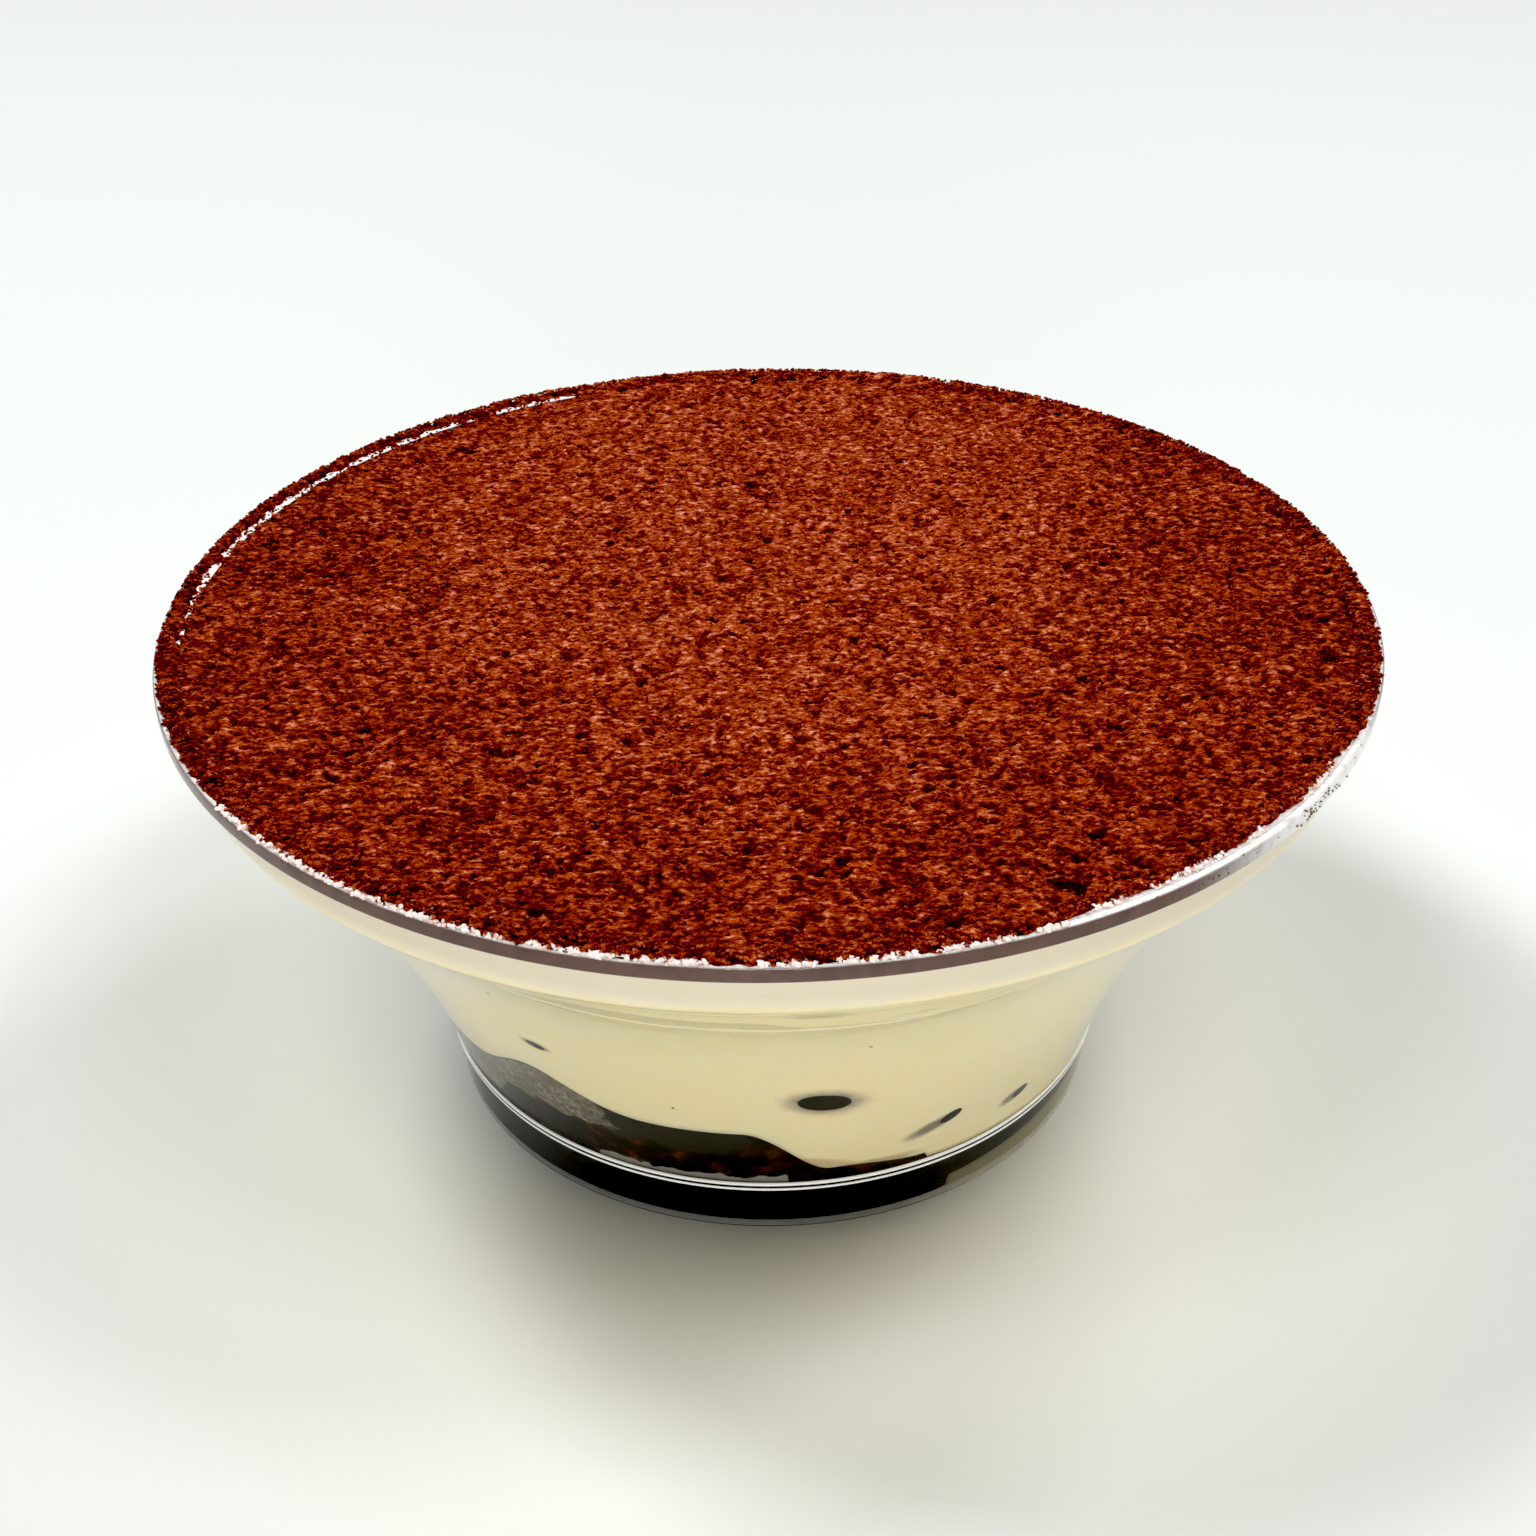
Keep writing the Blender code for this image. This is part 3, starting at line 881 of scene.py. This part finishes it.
@dataclass
class WallSpot:
    """A small piece of soaked sponge that shows at the wall inside the cream."""

    node: str
    angle: float
    height: float
    length: float
    width: float
    slope: float
    trail: float = 0.0
    trail_slope: float = 0.0
    depth: float = 1.6 * MM

    def frame_at(self, layers: Layers) -> Matrix:
        """Return the spot's turn and place against the wall."""
        step = 0.8 * MM
        rise = layers.wall_at(self.height + step) - layers.wall_at(self.height - step)
        lean = Matrix.Rotation(math.atan2(float(rise), 2.0 * step), 4, "X")
        tilt = Matrix.Rotation(-math.radians(self.slope), 4, "Y")
        turn = Matrix.Rotation(math.radians(self.angle), 4, "Z")
        place = Matrix.Translation((0.0, -float(layers.wall_at(self.height)), self.height))
        return turn @ place @ lean @ tilt

    def halo(self, layers: Layers) -> Halo:
        """Return the painted shade round the spot, or the smudge that trails down from it."""
        slope = self.trail_slope if self.trail else self.slope
        frame_at = replace(self, slope=slope).frame_at(layers)
        turn = frame_at.to_3x3()
        long = self.length * (0.32 if self.trail else 0.60) + self.trail * 0.36
        size = (long, self.depth * 2.0, self.width * (0.55 if self.trail else 0.62))
        return Halo(frame_at.translation - turn.col[0] * (self.trail * 0.5), turn, size)

    def build(self, layers: Layers, material: bpy.types.Material) -> bpy.types.Object:
        """Build the spot in place of its solid."""
        shape = bmesh.new()
        bmesh.ops.create_uvsphere(shape, u_segments=40, v_segments=20, radius=1.0)
        size = Matrix.Diagonal((self.length / 2.0, self.depth / 2.0, self.width / 2.0, 1.0))
        bmesh.ops.transform(shape, matrix=self.frame_at(layers) @ size, verts=shape.verts)
        piece = finish_piece(self.node + "_look", shape, material)
        points = coordinates(piece.data)
        limit = layers.wall_at(points[:, 2]) + 0.03 * MM
        radius = np.hypot(points[:, 0], points[:, 1])
        points[:, :2] *= (np.minimum(radius, limit) / radius)[:, None]
        move_points(piece.data, points)
        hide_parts(self.node)
        return piece


@dataclass
class Lumps:
    """Round lumps laid at random, one in each cell of a square lattice."""

    seed: int
    cell_mm: float
    radii: tuple[float, float]
    rises: tuple[float, float] = (-0.2, 0.1)
    share: float = 1.0
    size: int = 128
    draws: np.ndarray = field(init=False)

    def __post_init__(self) -> None:
        """Draw each cell's lump: its place, radius, rise and whether it is there."""
        draw = np.random.default_rng(self.seed)
        low = (0.0, 0.0, self.radii[0], self.rises[0], 0.0)
        high = (1.0, 1.0, self.radii[1], self.rises[1], 1.0)
        self.draws = draw.uniform(low, high, (self.size, self.size, 5))

    def at(self, x: np.ndarray, y: np.ndarray) -> np.ndarray:
        """Return the highest dome at places in millimetres, counted in cells."""
        u = x / self.cell_mm
        v = y / self.cell_mm
        low_u = np.floor(u).astype(int)
        low_v = np.floor(v).astype(int)
        top = np.full_like(u, self.rises[0])
        for right in (-1, 0, 1):
            for up in (-1, 0, 1):
                cell = self.draws[(low_u + right) % self.size, (low_v + up) % self.size]
                off_u = u - low_u - right - cell[..., 0]
                off_v = v - low_v - up - cell[..., 1]
                near = 1.0 - (off_u ** 2 + off_v ** 2) / cell[..., 2] ** 2
                dome = cell[..., 3] + 0.8 * cell[..., 2] * np.sqrt(np.maximum(near, 0.0))
                there = (near > 0.0) & (cell[..., 4] < self.share)
                top = np.where(there, np.maximum(top, dome), top)
        return top


@dataclass
class PowderRelief:
    """The heights of clumped powder over the whole top."""

    clumps: Lumps = field(default_factory=lambda: Lumps(41, 0.95, (0.55, 0.85)))
    grains: Lumps = field(default_factory=lambda: Lumps(42, 0.52, (0.50, 0.80)))
    pits: Lumps = field(default_factory=lambda: Lumps(43, 4.4, (0.07, 0.14), (0.0, 0.0), 0.85))
    small_pits: Lumps = field(default_factory=lambda: Lumps(44, 1.9, (0.12, 0.24), (0.0, 0.0), 0.75))
    holes: tuple = ((20.2, -41.3, 1.30), (25.5, -38.7, 1.00))

    def at(self, points: np.ndarray) -> np.ndarray:
        """Return the relief in metres at points in metres."""
        return (self.broad(points) + self.fine(points)) * MM

    def tone(self, points: np.ndarray) -> np.ndarray:
        """Return the light and shade painted on the powder: lighter on its clumps and swells, darker in
        its pits and towards the front and the sides.
        """
        return 1.1 * self.fine(points) + 0.25 * self.broad(points) - self.shade(points)

    def shade(self, points: np.ndarray) -> np.ndarray:
        """Return how much darker the powder is towards the front and the sides."""
        aside = np.hypot(points[:, 0], np.minimum(points[:, 1], 0.0)) / MM
        return 0.12 * smoothstep(14.0, 44.0, aside)

    def broad(self, points: np.ndarray) -> np.ndarray:
        """Return the slow swells of the powder, in millimetres."""
        x = points[:, 0] / MM
        y = points[:, 1] / MM
        return 0.14 * Waves(31).at(x / 7.0, y / 7.0) + 0.10 * Waves(32).at(x / 2.6, y / 2.6)

    def fine(self, points: np.ndarray) -> np.ndarray:
        """Return the clumps, grains and pits of the powder, in millimetres."""
        x = points[:, 0] / MM
        y = points[:, 1] / MM
        lumps = 0.30 * self.clumps.at(x, y) + 0.26 * self.grains.at(x, y) - 0.16
        warp = 0.35 * Waves(45).at(x / 0.55, y / 0.55)
        pits = 5.0 * self.pits.at(x + warp, 1.25 * y - warp)
        for hole_x, hole_y, radius in self.holes:
            away = np.hypot(x + 1.5 * warp - hole_x, 1.5 * (y - hole_y) - warp) / radius
            pits = pits + 0.45 * smoothstep(1.1, 0.5, away)
        return lumps - pits - 1.7 * self.small_pits.at(x + warp, 1.25 * y - warp)


@dataclass
class RimCover:
    """Where powder lies on the cup's rim, by the angle round from the front."""

    inner: float = 47.75 * MM
    full: float = 49.62 * MM
    narrow: float = 48.95 * MM
    bare_from: tuple = (19.0, 27.0)
    bare_to: tuple = (58.0, 66.0)
    gap_from: tuple = (195.0, 212.0)
    gap_to: tuple = (260.0, 288.0)

    def turned(self, angle: np.ndarray) -> np.ndarray:
        """Return angles counted on from the front, so that the back has no seam."""
        return np.mod(angle, 360.0)

    def gap(self, angle: np.ndarray) -> np.ndarray:
        """Return how open the gap is between the rim's powder and the cup's, from 0 to 1."""
        turned = self.turned(angle)
        wide = smoothstep(*self.gap_from, turned) * smoothstep(*self.gap_to[::-1], turned)
        coarse = Waves(51).at(turned / 2.5, turned * 0.0)
        fine = Waves(55).at(turned / 0.55, turned * 0.0)
        bridge = np.exp(-((turned - 214.5) / 1.8) ** 2)
        return np.clip(wide * (0.85 + 0.35 * coarse + 0.40 * fine) - bridge - 0.15, 0.0, 1.0)

    def bare(self, angle: np.ndarray) -> np.ndarray:
        """Return how bare the rim's outer part is, from 0 to 1."""
        turned = self.turned(angle)
        return smoothstep(*self.bare_from, turned) * smoothstep(*self.bare_to[::-1], turned)

    def shade(self, angle: np.ndarray) -> np.ndarray:
        """Return how much darker the rim's powder is along the back and the left."""
        turned = self.turned(angle)
        return 0.04 * smoothstep(95.0, 135.0, turned) * smoothstep(305.0, 285.0, turned)

    def inner_edge(self, angle: np.ndarray) -> np.ndarray:
        """Return the radius at which the rim's powder begins."""
        fine = Waves(57).at(self.turned(angle) / 0.45, angle * 0.0)
        return self.inner + (0.88 + 0.22 * fine) * MM * np.minimum(self.gap(angle) * 1.5, 1.0)

    def outer_edge(self, angle: np.ndarray) -> np.ndarray:
        """Return the radius at which the rim's powder ends."""
        turned = self.turned(angle)
        even = self.full + (self.narrow - self.full) * self.bare(angle)
        coarse = Waves(52).at(turned / 0.9, turned * 0.0)
        fine = Waves(56).at(turned / 0.35, turned * 0.0)
        return even + (0.13 * coarse + 0.10 * fine) * MM


@dataclass
class CocoaTop:
    """The cocoa: a clumped sheet over the cream, powder on the rim, and loose grains."""

    cup: ClearCup
    powder: CocoaPowder
    relief: PowderRelief
    cover: RimCover
    level: float = 43.0 * MM
    bottom: float = 41.7 * MM
    reach: float = 48.0 * MM
    spacing: float = 0.285 * MM
    into_wall: float = 0.12 * MM
    into_rim: float = 0.05 * MM
    bank_steps: int = 1300

    def top_at(self, points: np.ndarray) -> np.ndarray:
        """Return the height of the powder's top at points of the sheet."""
        radius = np.hypot(points[:, 0], points[:, 1])
        angle = front_angles(points)
        fall = 0.25 * MM * self.cover.gap(angle) * smoothstep(46.9 * MM, 48.0 * MM, radius)
        return self.level + self.relief.at(points) - fall

    def build_sheet(self) -> bpy.types.Object:
        """Build the powder sheet in place of its solid."""
        cells = int(2.0 * self.reach / self.spacing)
        shape = bmesh.new()
        bmesh.ops.create_grid(shape, x_segments=cells, y_segments=cells, size=self.reach)
        outside = [vert for vert in shape.verts if vert.co.xy.length > self.reach]
        bmesh.ops.delete(shape, geom=outside, context="VERTS")
        rim = [edge for edge in shape.edges if edge.is_boundary]
        wall = bmesh.ops.extrude_edge_only(shape, edges=rim)["geom"]
        lower = [item for item in wall if isinstance(item, bmesh.types.BMVert)]
        bmesh.ops.translate(shape, vec=(0.0, 0.0, -1.0), verts=lower)
        loop = [item for item in wall if isinstance(item, bmesh.types.BMEdge)]
        centre = bmesh.ops.extrude_edge_only(shape, edges=loop)["geom"]
        points = [item for item in centre if isinstance(item, bmesh.types.BMVert)]
        bmesh.ops.pointmerge(shape, verts=points, merge_co=(0.0, 0.0, -1.0))
        bmesh.ops.recalc_face_normals(shape, faces=shape.faces)
        material = self.powder.material("cocoa_look")
        piece = finish_piece("cocoa_top", shape, material)
        points = coordinates(piece.data)
        under = points[:, 2] < -0.5
        radius = np.hypot(points[:, 0], points[:, 1])
        height = np.where(under, self.bottom, self.top_at(points))
        edge = self.cup.collar_radius(height, self.cup.wall - self.into_wall)
        near_edge = radius > self.reach - 1.5 * self.spacing
        scale = np.where(near_edge, edge / np.maximum(radius, 1e-9), 1.0)
        tone = self.relief.tone(points)
        points[:, :2] *= scale[:, None]
        points[:, 2] = height
        move_points(piece.data, points)
        # The powder's painted light and shade, kept in the number "high".
        set_numbers(piece.data, "high", 0.54 + tone)
        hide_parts("cocoa")
        return piece

    def build_rim_powder(self) -> bpy.types.Object:
        """Build the thin bank of powder that lies on the rim."""
        steps = 9
        over = [(1.0 + step / steps, 1.0) for step in range(steps + 1)]
        under = [(2.0 - step / steps, 0.0) for step in range(steps + 1)]
        shape = spun(over + under + over[:1], self.bank_steps)
        material = self.powder.material("rim_powder_look")
        piece = finish_piece("rim_powder", shape, material)
        unit = coordinates(piece.data)
        angle = front_angles(unit)
        across = np.hypot(unit[:, 0], unit[:, 1]) - 1.0
        inner = self.cover.inner_edge(angle)
        radius = inner + (self.cover.outer_edge(angle) - inner) * across
        around = np.radians(angle)
        points = np.stack([radius * np.sin(around), -radius * np.cos(around), around], axis=1)
        relief = self.relief.at(points)
        bank = np.clip(4.5 * across * (1.0 - across), 0.0, 1.0) ** 0.6
        thick = np.maximum((0.48 * MM + relief) * bank, 0.02 * MM)
        low = self.cup.rim_top - self.into_rim
        points[:, 2] = np.where(unit[:, 2] > 0.5, self.cup.rim_top + thick, low)
        move_points(piece.data, points)
        # Painted light and shade of the rim's powder, with painted shade along the back and the left.
        set_numbers(piece.data, "high", 0.53 + self.relief.tone(points) - self.cover.shade(angle))
        return piece


@dataclass
class GrainBatch:
    """Where a batch of loose grains lies, how large each is, and its finish."""

    name: str
    places: np.ndarray
    radii: np.ndarray
    material: bpy.types.Material
    # Painted light and shade for each grain, kept in the number "high".
    light_levels: np.ndarray | float = 0.6
    flatten: float = 0.75

    def build(self, draw: np.random.Generator) -> bpy.types.Object:
        """Build the grains as one mesh of small uneven balls.

        Args:
            draw: Source of each grain's turn and unevenness.

        Returns:
            The piece.
        """
        shape = bmesh.new()
        bmesh.ops.create_icosphere(shape, subdivisions=1, radius=1.0)
        ball = np.array([vert.co[:] for vert in shape.verts])
        faces = np.array([[vert.index for vert in face.verts] for face in shape.faces])
        shape.free()
        count = len(self.places)
        uneven = 1.0 + draw.uniform(-0.28, 0.28, (count, len(ball), 1))
        turns = [Matrix.Rotation(angle, 3, Vector(axis)) for angle, axis in zip(
            draw.uniform(0.0, math.tau, count), draw.normal(size=(count, 3)))]
        turned = np.einsum("nij,vj->nvi", np.array(turns), ball) * uneven
        turned *= self.radii[:, None, None]
        turned[:, :, 2] *= self.flatten
        points = (turned + self.places[:, None, :]).reshape(-1, 3)
        corners = (faces[None] + (np.arange(count) * len(ball))[:, None, None]).reshape(-1, 3)
        mesh = bpy.data.meshes.new(self.name)
        mesh.from_pydata(points.tolist(), [], corners.tolist())
        set_numbers(mesh, "high", np.repeat(self.light_levels + self.radii * 0.0, len(ball)))
        mesh.materials.append(self.material)
        piece = bpy.data.objects.new(self.name, mesh)
        bpy.context.scene.collection.objects.link(piece)
        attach(piece, BODY)
        return piece


@dataclass
class LooseGrains:
    """Loose grains over the cocoa and along the rim."""

    cocoa: CocoaTop
    seed: int = 77
    sheet_count: int = 9000
    rim_count: int = 7000
    fringe_count: int = 1250
    gap_count: int = 800
    crumb_count: int = 60

    def ring(self, angle: np.ndarray, radius: np.ndarray, height: np.ndarray) -> np.ndarray:
        """Return points at angles from the front, radii and heights."""
        around = np.radians(angle)
        return np.stack([radius * np.sin(around), -radius * np.cos(around), height], axis=1)

    def build_all(self, pale: CrumbAndGlint) -> list[bpy.types.Object]:
        """Build every batch of grains."""
        draw = np.random.default_rng(self.seed)
        brown = self.cocoa.powder.material("loose_grain_look")
        batches = [
            self.over_sheet(draw, brown),
            self.over_rim(draw, brown),
            self.over_gap(draw, brown),
            # Painted glints along the rim's front edge.
            self.glint_fringe(draw, pale.material()),
            self.crumbs(draw, DULL_CRUMB.material()),
            self.specks(brown),
        ]
        return [batch.build(draw) for batch in batches]

    def over_sheet(self, draw: np.random.Generator, brown: bpy.types.Material) -> GrainBatch:
        """Place grains over the sheet."""
        radius = (self.cocoa.reach - 0.3 * MM) * np.sqrt(draw.uniform(0.0, 1.0, self.sheet_count))
        angle = draw.uniform(-180.0, 180.0, self.sheet_count)
        places = self.ring(angle, radius, radius * 0.0)
        radii = draw.uniform(0.09, 0.19, self.sheet_count) * MM
        places[:, 2] = self.cocoa.top_at(places) + radii * 0.3
        # Painted shade towards the front and the sides.
        light_levels = 0.60 - self.cocoa.relief.shade(places)
        return GrainBatch("cocoa_grains", places, radii, brown, light_levels)

    def over_rim(self, draw: np.random.Generator, brown: bpy.types.Material) -> GrainBatch:
        """Place grains over the rim's bank of powder and along its edges."""
        cover = self.cocoa.cover
        angle = draw.uniform(-180.0, 180.0, self.rim_count)
        across = draw.beta(1.2, 1.0, self.rim_count)
        inner = cover.inner_edge(angle)
        outer = cover.outer_edge(angle) + 0.10 * MM
        radii = draw.uniform(0.08, 0.20, self.rim_count) * MM
        rise = 0.50 * MM * np.clip(4.5 * across * (1.0 - across), 0.0, 1.0) ** 0.6
        height = self.cocoa.cup.rim_top + rise + radii * 0.3
        places = self.ring(angle, inner + (outer - inner) * across, height)
        # Painted shade towards the front and the sides, and along the rim's back and left.
        light_levels = 0.60 - self.cocoa.relief.shade(places) - cover.shade(angle)
        return GrainBatch("rim_grains", places, radii, brown, light_levels)

    def over_gap(self, draw: np.random.Generator, brown: bpy.types.Material) -> GrainBatch:
        """Place grains across the bare top of the wall at the left."""
        angle = draw.uniform(195.0, 286.0, self.gap_count)
        radius = draw.uniform(47.4, 48.75, self.gap_count) * MM
        places = self.ring(angle, radius, radius * 0.0)
        radii = draw.uniform(0.06, 0.18, self.gap_count) * MM
        on_wall = radius > self.cocoa.reach - 0.1 * MM
        top = np.where(on_wall, self.cocoa.cup.rim_top, self.cocoa.top_at(places))
        places[:, 2] = top + radii * 0.3
        return GrainBatch("gap_grains", places, radii, brown, 0.50)

    def glint_fringe(self, draw: np.random.Generator, pale: bpy.types.Material) -> GrainBatch:
        """Place pale grains along the front edge of the rim: painted glints of its top between the cocoa.
        """
        angle = draw.uniform(-58.0, 58.0, self.fringe_count)
        dense = Waves(54).at(angle / 2.0, angle * 0.0) > -0.45
        bare = (angle > -3.4) & (angle < -1.0)
        angle = angle[dense & ~bare]
        count = len(angle)
        radius = np.where(angle < 24.0, draw.uniform(49.45, 49.90, count),
                          draw.uniform(48.80, 49.25, count)) * MM
        radii = draw.uniform(0.09, 0.26, count) * MM
        height = self.cocoa.cup.rim_top + draw.uniform(0.0, 0.20, count) * MM
        return GrainBatch("pale_glint_fringe", self.ring(angle, radius, height), radii, pale)

    def crumbs(self, draw: np.random.Generator, dull: bpy.types.Material) -> GrainBatch:
        """Place stray crumbs on the rim's bare stretch and on its outer face."""
        angle = np.concatenate([draw.normal(52.0, 2.0, self.crumb_count // 2),
                                draw.uniform(24.0, 62.0, self.crumb_count // 2)])
        down = draw.uniform(0.0, 1.1, len(angle)) * MM
        radius = np.full(len(angle), self.cocoa.cup.rim_radius)
        height = self.cocoa.cup.rim_top - down
        radii = draw.uniform(0.05, 0.14, len(angle)) * MM
        return GrainBatch("rim_crumbs", self.ring(angle, radius, height), radii, dull)

    def specks(self, brown: bpy.types.Material) -> GrainBatch:
        """Place the three stray specks in the cream, just inside the wall."""
        angle = np.array([-29.8, 10.5, -14.1])
        height = np.array([30.9, 26.9, 15.7]) * MM
        cup = self.cocoa.cup
        radius = cup.wall_radius(height, cup.wall - self.cocoa.into_wall)
        radii = np.array([0.20, 0.17, 0.14]) * MM
        return GrainBatch("cream_specks", self.ring(angle, radius, height), radii, brown, 0.1)


@dataclass
class PhotoCamera:
    """The camera at the photograph's angle."""

    distance: float = 215.3 * MM
    elevation: float = math.radians(38.23)
    yaw: float = -0.0008
    pitch: float = 0.1057
    roll: float = math.radians(-0.87)
    focal_px: float = 2300.0
    frame_px: float = 1536.0
    sensor_mm: float = 36.0

    def build(self) -> None:
        """Add the camera and make it the scene's."""
        forward = Vector((0.0, math.cos(self.elevation), -math.sin(self.elevation)))
        right = Vector((1.0, 0.0, 0.0))
        up = right.cross(forward)
        aim = (forward + self.yaw * right + self.pitch * up).normalized()
        side = aim.cross(up).normalized()
        top = side.cross(aim)
        level = Matrix((side, top, -aim)).transposed()
        turn = level @ Matrix.Rotation(self.roll, 3, "Z")
        data = bpy.data.cameras.new("photo_camera")
        data.sensor_width = self.sensor_mm
        data.lens = self.focal_px / self.frame_px * self.sensor_mm
        data.clip_start = 10.0 * MM
        camera = bpy.data.objects.new("photo_camera", data)
        camera.matrix_world = Matrix.Translation(-self.distance * forward) @ turn.to_4x4()
        bpy.context.scene.collection.objects.link(camera)
        bpy.context.scene.camera = camera


@dataclass
class Lamp:
    """A soft square lamp aimed at the cup."""

    name: str
    place: tuple
    size: float
    power: float
    colour: tuple = (1.0, 1.0, 1.0)

    def build(self) -> None:
        """Add the lamp."""
        data = bpy.data.lights.new(self.name, "AREA")
        data.shape = "SQUARE"
        data.size = self.size
        data.energy = self.power
        data.color = self.colour
        lamp = bpy.data.objects.new(self.name, data)
        lamp.location = self.place
        aim = Vector((0.0, 0.0, 0.03)) - Vector(self.place)
        lamp.rotation_euler = aim.to_track_quat("-Z", "Y").to_euler()
        bpy.context.scene.collection.objects.link(lamp)


@dataclass
class Studio:
    """The pale floor, the soft lamps and the dim surroundings."""

    floor: PaleFloor
    half_size: float = 1.6
    surround: tuple = (0.05, 0.051, 0.05)
    black_level: float = 0.020
    lamps: tuple = (
        Lamp("front_left_lamp", (-0.3, -0.3, 1.0), 0.3, 1.8),
        Lamp("front_right_lamp", (0.3, -0.3, 1.0), 0.3, 1.6),
        Lamp("right_lamp", (0.6, 0.0, 1.0), 0.3, 3.6),
        Lamp("back_left_lamp", (-0.6, 0.3, 1.0), 0.3, 7.5),
        Lamp("back_right_lamp", (0.6, 0.6, 1.0), 0.3, 3.6),
        Lamp("low_front_lamp", (0.0, -1.1, 0.15), 0.28, 4.2),
    )

    def build(self) -> None:
        """Add the floor, the lamps, the surroundings and the plain colour transform."""
        shape = bmesh.new()
        bmesh.ops.create_grid(shape, x_segments=8, y_segments=8, size=self.half_size)
        mesh = bpy.data.meshes.new("floor")
        shape.to_mesh(mesh)
        shape.free()
        mesh.materials.append(self.floor.material())
        floor = bpy.data.objects.new("floor", mesh)
        bpy.context.scene.collection.objects.link(floor)
        for lamp in self.lamps:
            lamp.build()
        world = bpy.data.worlds.new("surround")
        world.use_nodes = True
        world.node_tree.nodes["Background"].inputs["Color"].default_value = (*self.surround, 1.0)
        bpy.context.scene.world = world
        self.grade(bpy.context.scene.view_settings)

    def grade(self, view: bpy.types.ColorManagedViewSettings) -> None:
        """Set the plain colour transform, with the photograph's deep blacks."""
        view.view_transform = "Standard"
        view.use_curve_mapping = True
        view.curve_mapping.black_level = (self.black_level,) * 3
        view.curve_mapping.update()


def main() -> None:
    """Build the cup, its contents and the studio."""
    logging.basicConfig(level=logging.INFO, format="%(message)s")
    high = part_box("cup")[1]
    cup = ClearCup(ClearPlastic(), rim_radius=high[0], rim_top=high[2])
    layers = Layers(cup, SpongeForm(cup))
    spots = [
        WallSpot("sponge_spot_1", 6.6, 17.25 * MM, 4.3 * MM, 2.7 * MM, -14.0),
        WallSpot("sponge_spot_2", 27.6, 10.6 * MM, 2.1 * MM, 1.2 * MM, 36.0, 3.4 * MM, 26.0),
        WallSpot("sponge_spot_3", 42.2, 9.1 * MM, 1.7 * MM, 1.2 * MM, 28.0, 1.5 * MM, 16.0),
        WallSpot("sponge_spot_4", -31.6, 21.0 * MM, 1.7 * MM, 1.0 * MM, -12.0),
    ]
    bleeds = [
        WallSpot("bleed_left", 6.0, 7.9 * MM, 4.4 * MM, 0.8 * MM, -14.0),
        WallSpot("bleed_right", 16.5, 6.7 * MM, 5.0 * MM, 0.7 * MM, 0.0),
    ]
    rust = (0.42, 0.17, 0.05)
    sponge_piece = layers.build_sponge(SoakedSponge())
    pieces = [cup.build(), sponge_piece]
    pieces += cup.build_bright_edges(BrightEdge())
    pieces.append(cup.build_rim_core(RimCore()))
    # Painted shade round each piece of sponge, or its smudge; the bleeds are rust stains.
    halos = [spot.halo(layers) for spot in spots]
    halos += [replace(spot.halo(layers), colour=rust, strength=0.45) for spot in bleeds]
    pieces.append(layers.build_cream(MascarponeCream(), halos))
    black = (0.0012, 0.0008, 0.0008)
    spot_material = SoakedSponge("sponge_spot_look", brown=black, tan=black).material()
    pieces += [spot.build(layers, spot_material) for spot in spots]
    cocoa = CocoaTop(cup, CocoaPowder(), PowderRelief(), RimCover())
    pieces += [cocoa.build_sheet(), cocoa.build_rim_powder()]
    grains = LooseGrains(cocoa)
    pieces += grains.build_all(CrumbAndGlint())
    for piece in pieces:
        LOG.info("%s: %d faces", piece.name, len(piece.data.polygons))
    Studio(PaleFloor()).build()
    PhotoCamera().build()


if __name__ == "__main__":
    main()
